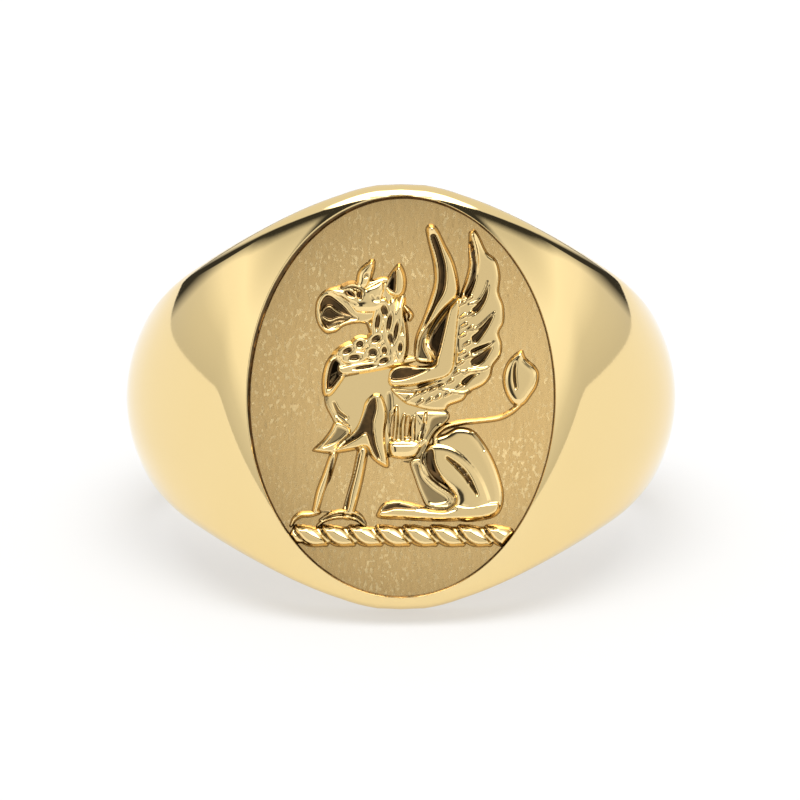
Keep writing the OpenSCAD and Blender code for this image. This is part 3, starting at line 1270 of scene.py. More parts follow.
    def trunk(self) -> list[Form]:
        """Chest, ribs and belly.

        Returns:
            The forms, in the order in which they are laid.
        """
        return [
            Pillow([(-3, 0.47), (-2.37, 0.87), (-1.52, 1.07), (-0.59, 1.2), (0.07, 1.07),
                    (1.25, -0.18), (1.78, -0.51), (1.94, -0.78), (1.58, -1.17), (1.25, -1.63),
                    (1.02, -2.1), (0.72, -2.49), (0.39, -2.64), (-0.4, -2.49), (-0.59, -2.23),
                    (-1.25, -1.96), (-2.04, -1.44), (-2.57, -1.04),
                    (-2.9, -0.38)], 0.09, crown=0.1, spread=0.2),
            # breast and the fold beside it
            Ridge([(-3.02, 0.05, 0.05), (-2.93, -0.32, 0.09), (-2.73, -0.71, 0.1),
                   (-2.57, -1.01, 0.1)], 0.24, left=0.3, right=0.2),
            Ridge([(-2.57, -0.81, 0.08), (-2.31, -1.04, 0.12), (-2.04, -1.21, 0.08)], 0.24),
            Groove([(-2.67, -0.24, 0.04), (-2.5, -0.58, 0.06), (-2.17, -0.84, 0.05)], 0.1),
            # loin
            Pillow([(0.53, -0.65), (1.12, -0.58), (1.78, -0.63), (1.94, -0.84), (1.65, -1.17),
                    (1.28, -1.5), (1.09, -1.96), (0.82, -2.42), (0.53, -2.52), (0.59, -1.83),
                    (0.76, -1.17)], 0.16, crown=0.3, spread=0.3),
            Hollow([(1.22, -0.81), (1.88, -0.71), (1.78, -1.01), (1.45, -1.21), (1.15, -1.6),
                    (0.99, -1.83), (0.89, -1.63), (1.05, -1.3)], 0.08, shade_level=0.65, edge=0.1),
            Hollow([(0.59, -2.23), (0.92, -1.83), (1.05, -1.9), (0.89, -2.39), (0.66, -2.57),
                    (0.47, -2.59)], 0.1, shade_level=0.6, edge=0.08),
            # ribs
            Hollow([(-0.59, 0.08), (-0.36, 0.14), (-0.3, -0.51), (-0.4, -0.71), (-0.36, -1.63),
                    (-0.49, -1.7), (-0.59, -1.17)], 0.06, shade_level=0.45, edge=0.08),
            Ridge([(-0.28, -1.7, 0.12), (-0.23, -1.17, 0.13), (-0.19, -0.65, 0.12),
                   (-0.17, -0.42, 0.08)], 0.34, left=0.3, right=0.5, base=0.06),
            Ridge([(0.07, -1.7, 0.12), (0.08, -1.17, 0.12),
                   (0.14, -0.74, 0.08)], 0.28, left=0.3, right=0.5, base=0.06),
            Ridge([(0.46, -1.7, 0.12), (0.47, -1.17, 0.12),
                   (0.53, -0.81, 0.08)], 0.28, left=0.3, right=0.5, base=0.06),
            Ridge([(0.72, -1.7, 0.1), (0.89, -1.3, 0.12), (0.97, -0.84, 0.12),
                   (0.99, -0.65, 0.07)], 0.33, left=0.3, right=0.5, base=0.06),
            Groove([(-0.36, -1.57, 0.05), (-0.34, -1.17, 0.07), (-0.29, -0.74, 0.04)], 0.18),
            Groove([(0.21, -1.54, 0.05), (0.25, -1.17, 0.07), (0.3, -0.81, 0.05)], 0.18),
            Groove([(0.8, -1.65, 0.06), (0.86, -1.34, 0.08), (0.91, -1.07, 0.05)], 0.2),
            # belly
            Pillow([(-0.51, -1.83), (-0.2, -1.69), (0.39, -1.69), (0.76, -1.77), (0.82, -2.03),
                    (0.69, -2.29), (0.46, -2.44), (0.07, -2.49), (-0.33, -2.44),
                    (-0.49, -2.23)], 0.31, crown=0.5, spread=0.36),
            Groove([(-0.36, -1.91, 0.02), (0.07, -1.92, 0.025), (0.53, -1.9, 0.02)], 0.03),
            Groove([(-0.41, -2.44, 0.05), (0.07, -2.52, 0.06), (0.56, -2.46, 0.05)], 0.12),
        ]

    def forelegs(self) -> list[Form]:
        """Both upper forelegs with their tufts, the thin shanks and the claws.

        Returns:
            The forms, in the order in which they are laid.
        """
        return [
            # far upper leg
            Pillow([(-2.58, -0.92), (-2.04, -1.17), (-1.99, -1.5), (-2.5, -1.96), (-2.7, -2.27),
                    (-3.46, -2.19), (-3.51, -2.08), (-3.11, -1.69),
                    (-2.82, -1.3)], 0.26, crown=0.15, spread=0.12),
            Hollow([(-2.52, -1.16), (-2.11, -1.34), (-2.23, -1.54), (-2.62, -1.86),
                    (-3.15, -2.04), (-2.89, -1.7), (-2.65, -1.38)], 0.1, shade_level=0.6),
            # near upper leg
            Pillow([(-1.28, 0.03), (-1, 0.19), (-0.71, 0.06), (-0.55, -0.38), (-0.51, -0.81),
                    (-0.58, -1.37), (-0.55, -1.96), (-0.45, -2.68), (-0.58, -2.85),
                    (-0.92, -2.68), (-1.23, -2.39), (-1.4, -2.06), (-1.78, -2.13),
                    (-2.31, -2.23), (-2.78, -2.27), (-2.78, -2.13), (-2.57, -1.93),
                    (-2.12, -1.57), (-1.78, -1.14), (-1.59, -0.65),
                    (-1.48, -0.22)], 0.36, crown=0.12, spread=0.14),
            Hollow([(-1.32, -0.26), (-1.17, -0.05), (-0.99, 0), (-0.95, -0.51), (-1.07, -1.04),
                    (-1.04, -1.5), (-0.96, -1.96), (-0.78, -2.52), (-0.99, -2.44), (-1.2, -2.03),
                    (-1.31, -1.7), (-1.42, -1.49), (-1.78, -1.71), (-2.27, -1.98),
                    (-2.58, -2.11), (-2.25, -1.75), (-1.78, -1.34), (-1.54, -0.81),
                    (-1.41, -0.45)], 0.2, edge=0.07),
            Ridge([(-1.37, -1.96, 0.05), (-1.41, -1.7, 0.08), (-1.44, -1.49, 0.04)], 0.33),
            # shanks
            Ridge([(-3.41, -4.57, 0.15), (-3.2, -3.81, 0.2), (-2.93, -3.08, 0.2),
                   (-2.67, -2.29, 0.18)], 0.3, left=0.1, right=0.1),
            Hollow([(-3.15, -4.34), (-3.23, -4.47), (-3.06, -3.74), (-2.91, -3.08),
                    (-2.78, -2.49), (-2.64, -2.41), (-2.75, -3.08),
                    (-2.93, -3.74)], 0.16, edge=0.05),
            Ridge([(-2.11, -4.66, 0.26), (-1.91, -3.94, 0.26), (-1.71, -3.15, 0.25),
                   (-1.52, -2.16, 0.24)], 0.33, left=0.1, right=0.3, keel=0.3),
            Hollow([(-2.25, -4.47), (-2.11, -4.5), (-1.96, -3.81), (-1.78, -3.08),
                    (-1.59, -2.23), (-1.71, -2.29), (-1.88, -3.08),
                    (-2.11, -3.81)], 0.18, edge=0.05),
            Ridge([(-3.23, -4.56, 0.04), (-2.77, -4.55, 0.05), (-2.31, -4.5, 0.05)], 0.14),
            # claws
            Ridge([(-3.32, -5.13, 0.07), (-3.03, -4.9, 0.1), (-2.64, -4.8, 0.1),
                   (-2.24, -4.78, 0.1), (-1.78, -4.86, 0.1), (-1.42, -5.13, 0.07)], 0.38),
            Ridge([(-3.23, -4.91, 0.06), (-2.83, -4.68, 0.1), (-2.37, -4.57, 0.12),
                   (-1.91, -4.6, 0.12), (-1.61, -4.76, 0.09), (-1.4, -5.03, 0.05)], 0.4),
            Groove([(-3.11, -4.91, 0.03), (-2.7, -4.73, 0.05), (-2.31, -4.68, 0.05),
                    (-1.85, -4.74, 0.04)], 0.12),
            Ridge([(-4.38, -5.13, 0.07), (-4.22, -4.85, 0.12), (-3.95, -4.68, 0.14),
                   (-3.59, -4.66, 0.14), (-3.29, -4.59, 0.12)], 0.32),
            Hollow([(-4.09, -5.06), (-3.95, -4.9), (-3.66, -4.83), (-3.35, -4.83),
                    (-3.36, -5.03), (-3.69, -5.13)], 0.1, shade_level=0.7, edge=0.07),
        ]

    def hindquarters(self) -> list[Form]:
        """Haunch, hind foot and tail.

        Returns:
            The forms, in the order in which they are laid.
        """
        return [
            # hollow in front of the haunch
            Pillow([(0.34, -2.57), (0.76, -2.42), (0.99, -2.75), (1.38, -3.41), (2.01, -3.94),
                    (2.07, -4.22), (1.71, -4.43), (1.05, -4.39), (0.76, -3.89),
                    (0.53, -3.25)], 0.14, crown=0.1, spread=0.15),
            Hollow([(0.45, -2.68), (0.71, -2.61), (0.87, -3.15), (1.28, -3.6), (1.79, -3.95),
                    (1.9, -4.14), (1.58, -4.28), (1.13, -4.26), (0.84, -3.81),
                    (0.59, -3.18)], 0.08, shade_level=0.62, edge=0.08),
            # haunch and thigh
            Pillow([(1.28, -1.7), (1.78, -1.44), (2.24, -1.21), (2.77, -1.27), (3.1, -1.54),
                    (3.56, -2.23), (3.92, -3.08), (4.1, -3.94), (3.92, -4.63), (3.36, -4.9),
                    (2.37, -4.96), (1.98, -4.47), (2.11, -3.94), (1.51, -3.08),
                    (1.25, -2.49)], 0.27, crown=0.35, spread=0.4),
            Pillow([(0.92, -2.23), (1.22, -1.83), (1.91, -1.88), (2.57, -2.28), (3.16, -2.95),
                    (3.52, -3.68), (3.62, -4.27), (3.03, -4.66), (2.17, -4.47), (2.12, -3.97),
                    (1.78, -3.64), (1.25, -3.28), (0.95, -2.85)], 0.37, crown=0.3, spread=0.5),
            Hollow([(0.93, -2.28), (1.15, -2.07), (1.3, -2.15), (1.37, -2.62), (1.58, -3.08),
                    (1.94, -3.58), (2.07, -3.82), (1.71, -3.62), (1.25, -3.25),
                    (0.99, -2.85)], 0.2),
            Ridge([(0.86, -2.23, 0.06), (0.78, -2.62, 0.08), (0.95, -3.08, 0.09),
                   (1.45, -3.54, 0.09), (1.98, -3.91, 0.1), (2.09, -4.12, 0.1),
                   (1.84, -4.37, 0.09), (1.25, -4.39, 0.07)], 0.38),
            Groove([(2.77, -1.37, 0.03), (3.03, -1.7, 0.04), (3.29, -2.13, 0.03)], 0.06),
            Groove([(1.83, -2.41, 0.04), (2.11, -2.64, 0.08), (2.44, -2.95, 0.11),
                    (2.7, -3.31, 0.1), (3.03, -3.89, 0.03)], 0.15),
            Pit([(2.14, -2.7, 0.05), (2.37, -2.85, 0.05), (2.58, -3.1, 0.05),
                 (2.73, -3.43, 0.05)], -0.07),
            # hind foot
            Pillow([(-0.92, -4.83), (-0.92, -4.5), (-0.66, -4.2), (-0.2, -4.09), (0.39, -4.19),
                    (1.12, -4.39), (1.78, -4.42), (2.17, -4.2), (2.7, -4.26), (3.42, -4.14),
                    (3.96, -4.14), (3.89, -4.63), (3.36, -4.88), (2.57, -4.94), (1.38, -4.97),
                    (0.07, -4.9)], 0.38, crown=0.3, spread=0.22),
            Hollow([(-0.8, -4.55), (-0.59, -4.28), (-0.08, -4.19), (0.39, -4.28), (0.95, -4.45),
                    (0.46, -4.51), (-0.2, -4.48), (-0.59, -4.57)], 0.16, edge=0.06),
            Groove([(0.59, -4.5, 0.03), (1.12, -4.55, 0.05), (1.78, -4.57, 0.05),
                    (2.17, -4.47, 0.04)], 0.05),
            # tail
            Ridge([(1.32, -1.83, 0.08), (1.38, -1.54, 0.11), (1.71, -1.23, 0.13),
                   (2.3, -1.04, 0.13), (3.03, -0.96, 0.12), (3.82, -0.86, 0.12),
                   (4.28, -0.66, 0.13), (4.61, -0.42, 0.12),
                   (4.78, -0.26, 0.1)], 0.36, keel=-0.2, left=0.5, right=0.3),
            # tuft
            Pillow([(4.48, -0.35), (4.18, 0.05), (4.03, 0.57), (4.07, 1.04), (4.25, 1.43),
                    (4.54, 1.73), (4.84, 1.86), (4.97, 1.56), (5.34, 1.23), (5.5, 0.9),
                    (5.43, 0.44), (5.2, 0.05), (4.87, -0.35)], 0.34, crown=0.35, spread=0.4),
            Ridge([(4.54, -0.28, 0.07), (4.36, 0.18, 0.08), (4.28, 0.64, 0.08),
                   (4.32, 1.1, 0.08), (4.51, 1.56, 0.06), (4.78, 1.84, 0.04)], 0.42),
            Hollow([(4.48, 0.41), (4.43, 0.84), (4.48, 1.3), (4.61, 1.43), (4.58, 0.97),
                    (4.62, 0.38), (4.54, 0.28)], 0.14, edge=0.05),
        ]

    def wing(self) -> list[Form]:
        """Upper arm, two long primaries, the fanned feathers and the small coverts.

        Returns:
            The forms, in the order in which they are laid.
        """
        slits = [[(3.5, 4.53), (3.44, 4), (3.17, 3.46), (2.78, 3.18), (2.77, 3.44),
                  (3.08, 3.74), (3.31, 4.12)],
                 [(3.72, 3.33), (3.56, 2.91), (3.24, 2.39), (2.96, 2.12), (2.78, 2.35),
                  (3.08, 2.63), (3.39, 3.02)],
                 [(3.7, 2.21), (3.36, 1.94), (2.85, 1.71), (2.78, 1.88), (3.29, 2.09)],
                 [(3.66, 2.02), (3.33, 1.42), (2.91, 1.2), (2.75, 1.43), (3.11, 1.69)],
                 [(3.36, 0.98), (2.96, 0.84), (2.5, 0.39), (2.36, 0.57), (2.77, 0.9)]]
        lips = [[(2.7, 3.67, 0.05), (3.1, 3.82, 0.08), (3.33, 4.2, 0.06), (3.46, 4.59, 0.05)],
                [(2.73, 2.62, 0.05), (3.13, 2.78, 0.09), (3.49, 3.14, 0.07), (3.75, 3.37, 0.05)],
                [(2.7, 1.73, 0.05), (3.13, 1.84, 0.08), (3.49, 2.02, 0.07), (3.74, 2.23, 0.04)],
                [(2.3, 0.97, 0.06), (2.83, 1.04, 0.09), (3.29, 1.1, 0.08), (3.52, 1.2, 0.04)],
                [(1.51, 0.31, 0.06), (2.04, 0.21, 0.08), (2.44, 0.15, 0.07), (2.7, 0.24, 0.05)],
                [(2.57, 1.56, 0.05), (2.96, 1.63, 0.06), (3.29, 1.79, 0.04)]]
        coverts = [(2.42, 3.72), (2.7, 3.92), (2.45, 3.2), (2.75, 3.3), (2.5, 2.85), (2.75, 2.72),
                   (2.45, 2.45), (2.6, 2.1), (2.42, 1.75), (2.65, 1.6), (2.35, 1.35), (2.6, 1.0),
                   (2.2, 0.95), (1.95, 0.62), (2.3, 0.4), (1.6, 0.42), (1.85, 0.12), (1.25, 0.3),
                   (1.45, -0.02), (0.9, 0.2), (1.12, -0.14), (0.58, 0.1), (0.75, -0.2),
                   (0.3, -0.05)]
        return [
            # low fan with its scalloped edge
            Pillow([(-0.46, 0.38), (0.72, 0.38), (2.0, 1.2), (2.1, 2.3), (2.14, 3.47),
                    (2.37, 4.13), (2.73, 4.79), (2.68, 6.25), (2.8, 6.6), (2.95, 6.65),
                    (3.15, 6.35), (3.42, 5.78), (3.81, 5.42), (3.96, 4.79), (3.91, 4.16),
                    (4.1, 3.6), (4.1, 2.95), (3.91, 2.54), (4.03, 2.09), (3.96, 1.6), (3.69, 1.22),
                    (3.57, 0.77), (3.26, 0.43), (2.73, 0.17), (2.47, -0.16), (1.94, -0.36),
                    (1.74, -0.58), (1.12, -0.58), (0.53, -0.43),
                    (0.07, -0.25)], 0.24, crown=0.35, spread=0.24),
            *[Ridge(line, 0.38, base=0.19) for line in lips],
            *[Hollow(line, 0.14) for line in slits],
            # row of small coverts
            *[Ridge([(x - 0.1, z - 0.09, 0.07), (x + 0.1, z + 0.05, 0.1)], 0.4, base=0.18)
              for x, z in coverts],
            Groove([(-0.2, 0.21, 0.05), (0.72, 0.23, 0.05), (1.71, 0.51, 0.05)], 0.1),
            # second long primary
            Ridge([(2.44, 3.93, 0.14), (2.73, 4.53, 0.22), (2.93, 5.19, 0.26),
                   (2.91, 5.84, 0.24), (2.82, 6.47, 0.14)], 0.38, left=0.1, right=0.3, keel=0.2),
            Hollow([(2.7, 6.12), (2.85, 6.24), (2.98, 5.58), (3.04, 5.12), (2.96, 4.53),
                    (2.7, 3.95), (2.49, 4.1), (2.7, 4.63), (2.81, 5.25), (2.74, 5.68)], 0.2),
            # first long primary
            Pillow([(0.97, 6.7), (1.17, 6.88), (1.45, 6.71), (1.79, 6.04), (2.12, 5.38),
                    (2.32, 4.53), (2.27, 3.97), (1.78, 3.47), (1.38, 2.95), (1.09, 2.29),
                    (1.32, 1.56), (1.28, 1.3), (0.59, 1.43), (0.54, 2.29), (0.89, 3.21),
                    (1.12, 3.9), (1.29, 4.53), (1.26, 5.25), (1.11, 5.91),
                    (1.01, 6.37)], 0.35, crown=0.15, spread=0.14),
            Hollow([(1.13, 6.4), (1.33, 6.49), (1.45, 6.36), (1.66, 5.78), (1.82, 5.12),
                    (1.78, 4.26), (1.42, 3.6), (1.09, 2.95), (0.8, 2.54), (0.99, 3.13),
                    (1.24, 3.67), (1.42, 4.26), (1.47, 4.92), (1.37, 5.58),
                    (1.21, 6.08)], 0.2, edge=0.07),
            Hollow([(0.76, 2.39), (1.05, 2.85), (1.38, 3.14), (1.05, 2.42), (0.95, 1.96),
                    (1.15, 1.46), (0.64, 1.5), (0.66, 2.02)], 0.16, shade_level=0.6, edge=0.07),
            Pit([(1.28, 6.66, 0.16), (2.82, 6.45, 0.13)], -0.06),
            # upper arm
            Pillow([(-0.55, 0.71), (-0.44, 1.11), (0, 1.3), (0.72, 1.23), (1.22, 1.29),
                    (1.3, 1.46), (1, 1.86), (1.05, 2.32), (1.38, 2.91), (1.78, 3.46),
                    (2.23, 3.97), (2.42, 3.77), (2.34, 2.95), (2.28, 2.29), (2.23, 1.63),
                    (2.12, 1.02), (1.78, 0.69), (1.05, 0.5), (0.39, 0.36), (-0.33, 0.35),
                    (-0.53, 0.51)], 0.36, crown=0.12, spread=0.12),
            Hollow([(-0.45, 0.79), (-0.23, 1.1), (0.26, 1.19), (0.86, 1.13), (1.17, 1.1),
                    (0.76, 0.89), (0.2, 0.69), (-0.3, 0.64)], 0.18, edge=0.06),
            Hollow([(1.38, 1.33), (1.28, 1.73), (1.09, 2.06), (1.28, 2.62), (1.66, 3.21),
                    (1.96, 3.55), (1.86, 3.01), (1.69, 2.29), (1.54, 1.69)], 0.2, edge=0.06),
        ]

    def bar(self) -> list[Form]:
        """The twisted bar by strands, each with a hollow in painted shade beside its upper end.

        Returns:
            The forms, in the order in which they are laid.
        """
        pitch = (self.bar_right - self.bar_left) / self.strands
        parts: list[Form] = [Ridge([(self.bar_left + 0.1, self.bar_z, 0.34),
                                    (self.bar_right - 0.3, self.bar_z, 0.34)], 0.3)]
        for i in range(self.strands):
            x, z = self.bar_left + pitch * (i + 0.5), self.bar_z
            parts.append(Ridge([(x - 0.5, z + 0.26, 0.18), (x - 0.3, z + 0.16, 0.3),
                                (x, z - 0.02, 0.42), (x + 0.34, z - 0.18, 0.34),
                                (x + 0.66, z - 0.34, 0.14)], 0.43, keel=-0.1, left=0.62,
                               right=0.16))
            parts.append(Groove([(x - 0.6, z + 0.3, 0.06), (x - 0.48, z + 0.06, 0.06),
                                 (x - 0.2, z - 0.22, 0.035), (x + 0.15, z - 0.42, 0.02)], 0.12))
            parts.append(Hollow([(x - 0.52, z + 0.34), (x - 0.3, z + 0.36), (x - 0.08, z + 0.26),
                                 (x - 0.2, z + 0.2), (x - 0.44, z + 0.16)], 0.08, shade_level=0.85))
        return parts

    def pieces(self) -> list[Relief]:
        """The crest's pieces, each with the CAD node that it helps to stand for.

        Returns:
            The pieces, from the trunk to the bar.
        """
        figure = ("griffin_figure",)
        return [
            Relief(self.axes, "griffin_trunk", figure, self.trunk()),
            Relief(self.axes, "griffin_neck", figure, self.neck()),
            Relief(self.axes, "griffin_head", figure, self.head()),
            Relief(self.axes, "griffin_forelegs", figure, self.forelegs()),
            Relief(self.axes, "griffin_hindquarters", figure, self.hindquarters()),
            Relief(self.axes, "griffin_wing_relief", ("griffin_wing",), self.wing()),
            Relief(self.axes, "twisted_bar_relief", ("twisted_bar",), self.bar()),
        ]


# ---------------------------------------------------------------- finishes


def grey(value: float) -> tuple[float, float, float, float]:
    """A grey of a brightness, as an opaque colour."""
    return (value, value, value, 1)


class Nodes:
    """A short way to write a node tree: makes nodes, sets their sockets and links them."""

    def __init__(self, tree: bpy.types.NodeTree) -> None:
        """Clears the tree."""
        tree.nodes.clear()
        self.tree = tree

    def add(self, kind: str, inputs: dict | None = None, **settings: object) -> bpy.types.Node:
        """Adds a node.

        Args:
            kind: The node's type without the ShaderNode prefix.
            inputs: Values or output sockets for its input sockets, by name or index.
            settings: The node's own settings.

        Returns:
            The new node.
        """
        node = self.tree.nodes.new("ShaderNode" + kind)
        for name, value in settings.items():
            setattr(node, name, value)
        for key, value in (inputs or {}).items():
            if isinstance(value, bpy.types.NodeSocket):
                self.tree.links.new(value, node.inputs[key])
            else:
                node.inputs[key].default_value = value
        return node

    def math(self, operation: str, a: object, b: object = 0.0, clamp: bool = False) -> object:
        """The output of one arithmetic node."""
        node = self.add("Math", {0: a, 1: b}, operation=operation, use_clamp=clamp)
        return node.outputs[0]

    def ramp(self, factor: object, stops: Sequence[tuple[float, float]]) -> object:
        """The brightness that a ramp of (position, value) stops gives for a factor.

        Args:
            factor: The output socket that the ramp reads.
            stops: The positions and values.

        Returns:
            The brightness, as an output socket.
        """
        node = self.add("ValToRGB", {0: factor})
        elements = node.color_ramp.elements
        while len(elements) < len(stops):
            elements.new(0.5)
        for element, (position, value) in zip(elements, stops):
            element.position = position
            element.color = grey(value)
        return node.outputs[0]

    def between(self, factor: object, a: object, b: object) -> object:
        """A colour between two colours.

        Args:
            factor: How far the colour is towards the second.
            a: The first colour, or an output socket.
            b: The second colour, or an output socket.

        Returns:
            The colour, as an output socket.
        """
        node = self.add("Mix", {0: factor}, data_type="RGBA")
        for socket, value in ((node.inputs[6], a), (node.inputs[7], b)):
            if isinstance(value, bpy.types.NodeSocket):
                self.tree.links.new(value, socket)
            else:
                socket.default_value = value
        return node.outputs[2]


# how often the marks in the gold repeat, per metre, across the hoop, in depth and up
HAIR_PACE = (1500, 9000, 1200)
CAST_PACE = (8500, 8500, 4200)
GRAIN_PACE = (7600, 7600, 4200)
PATCH_PACE = 420.0
DRIFT_PACE = 220.0
# how often the mottle in the painted shade's brown repeats, per metre
SHADE_MOTTLE_PACE = 2600.0
# how the hairline scratches are turned, in radians
HAIR_TURN = (0.2, 0.5, 0.3)
# depths of the marks in metres, and what they add to the roughness or the colour
HAIR_DEPTH = 0.000004
CAST_DEPTH = 0.000012
HAIR_DULL = 0.03
GLINT_DULL = 0.42
DRIFT_SHARE = 0.35
# the darkest and the brownest colour of the painted shade
SHADE_DARKEST = (0.04, 0.02, 0.008)
SHADE_BROWN = (0.12, 0.06, 0.02)
# the pale gold of the painted glints on the ground's specks
GLINT = (1.0, 0.8, 0.42)


@dataclass(frozen=True)
class Gold:
    """A gold finish: its colours, its gloss and the fine marks that break the gloss."""

    name: str
    colour: tuple[float, float, float]
    deep: tuple[float, float, float]
    gloss_low: float
    gloss_high: float
    scratch: float
    speckle: float
    shade_strength: float = 0.0
    glint: float = 0.0

    def _marks(self, nodes: Nodes, place: object) -> tuple[object, object]:
        """Hairline scratches and cast speckle, each as a factor from 0 to 1.

        Args:
            nodes: The material's node tree.
            place: The output socket of the Object coordinates.

        Returns:
            The scratches and the speckle, as output sockets.
        """
        hair = nodes.add("Mapping", {0: place, 2: HAIR_TURN, 3: HAIR_PACE})
        scratches = nodes.add("TexNoise", {"Vector": hair.outputs[0], "Scale": 1.0,
                                           "Detail": 3.0, "Roughness": 0.6})
        grain = nodes.add("Mapping", {0: place, 3: CAST_PACE})
        cast = nodes.add("TexNoise", {"Vector": grain.outputs[0], "Scale": 1.0, "Detail": 4.0,
                                      "Roughness": 0.62})
        return scratches.outputs[0], cast.outputs[0]

    def _glint_specks(self, nodes: Nodes, place: object) -> object:
        """Cast specks with painted glints, in drifting patches, as a factor from 0 to 1.

        Args:
            nodes: The material's node tree.
            place: The output socket of the Object coordinates.

        Returns:
            The specks, as an output socket.
        """
        fine = nodes.add("Mapping", {0: place, 3: GRAIN_PACE})
        grains = nodes.add("TexNoise", {"Vector": fine.outputs[0], "Scale": 1.0, "Detail": 2.5,
                                        "Roughness": 0.55}).outputs[0]
        broad = nodes.add("TexNoise", {"Vector": place, "Scale": PATCH_PACE,
                                       "Detail": 1.5}).outputs[0]
        patches = nodes.ramp(broad, [(0.36, 0.25), (0.62, 1.0)])
        return nodes.math("MULTIPLY", nodes.math("MULTIPLY", patches, self.glint),
                          nodes.ramp(grains, [(0.54, 0.0), (0.63, 1.0)]))

    def build(self) -> bpy.types.Material:
        """Makes the material.

        Returns:
            The finished material.
        """
        material = bpy.data.materials.new(self.name)
        material.use_nodes = True
        nodes = Nodes(material.node_tree)
        place = nodes.add("TexCoord").outputs["Object"]
        scratches, cast = self._marks(nodes, place)
        drift = nodes.add("TexNoise", {"Vector": place, "Scale": DRIFT_PACE, "Detail": 2.0})
        deeper = nodes.ramp(drift.outputs[0], [(0.35, 0.0), (0.7, 1.0)])
        colour = nodes.between(nodes.math("MULTIPLY", deeper, DRIFT_SHARE), (*self.colour, 1),
                               (*self.deep, 1))
        # painted glints: the specks are lightened towards a pale gold, besides being rougher
        if self.glint:
            glint_specks = self._glint_specks(nodes, place)
            colour = nodes.between(glint_specks, colour, (*GLINT, 1))
        # painted shade: where the 'shade' attribute is high the colour turns to a mottled dark
        # brown
        if self.shade_strength:
            shade = nodes.add("Attribute", attribute_name="shade").outputs["Fac"]
            dim = nodes.math("MULTIPLY", shade, self.shade_strength, clamp=True)
            shade_mottle = nodes.add("TexNoise", {"Vector": place, "Scale": SHADE_MOTTLE_PACE, "Detail": 3.0})
            shade_colour = nodes.between(nodes.ramp(shade_mottle.outputs[0], [(0.42, 0.0), (0.68, 1.0)]),
                                  (*SHADE_DARKEST, 1), (*SHADE_BROWN, 1))
            colour = nodes.between(dim, colour, shade_colour)
        speckled = nodes.ramp(cast, [(0.44, 0.0), (0.66, 1.0)])
        gloss = nodes.math("ADD", self.gloss_low,
                           nodes.math("MULTIPLY", nodes.math("MULTIPLY", speckled, self.speckle),
                                      self.gloss_high - self.gloss_low))
        gloss = nodes.math("ADD", gloss, nodes.math("MULTIPLY", scratches, HAIR_DULL))
        bump = nodes.add("Bump", {"Strength": self.scratch, "Distance": HAIR_DEPTH,
                                  "Height": scratches})
        rough = nodes.add("Bump", {"Strength": self.speckle, "Distance": CAST_DEPTH,
                                   "Height": cast, "Normal": bump.outputs[0]})
        if self.glint:
            gloss = nodes.math("ADD", gloss, nodes.math("MULTIPLY", glint_specks, GLINT_DULL))
        shader = nodes.add("BsdfPrincipled", {"Base Color": colour, "Metallic": 1.0,
                                              "Roughness": gloss, "Normal": rough.outputs[0]})
        nodes.add("OutputMaterial", {0: shader.outputs[0]})
        return material


# how strongly each gold takes the painted shade, and the painted glints on the ground's specks
POLISHED = Gold("polished_gold", colour=(0.89, 0.69, 0.34), deep=(0.87, 0.66, 0.305),
                gloss_low=0.035, gloss_high=0.09, scratch=0.05, speckle=0.02, shade_strength=0.96)
GROUND = Gold("textured_gold", colour=(0.98, 0.68, 0.29), deep=(0.92, 0.60, 0.23),
              gloss_low=0.17, gloss_high=0.4, scratch=0.1, speckle=0.5, shade_strength=1.0, glint=0.72)
RELIEF = Gold("relief_gold", colour=(0.95, 0.725, 0.35), deep=(0.91, 0.65, 0.28),
              gloss_low=0.05, gloss_high=0.12, scratch=0.08, speckle=0.05, shade_strength=0.98)


# ---------------------------------------------------------------- studio


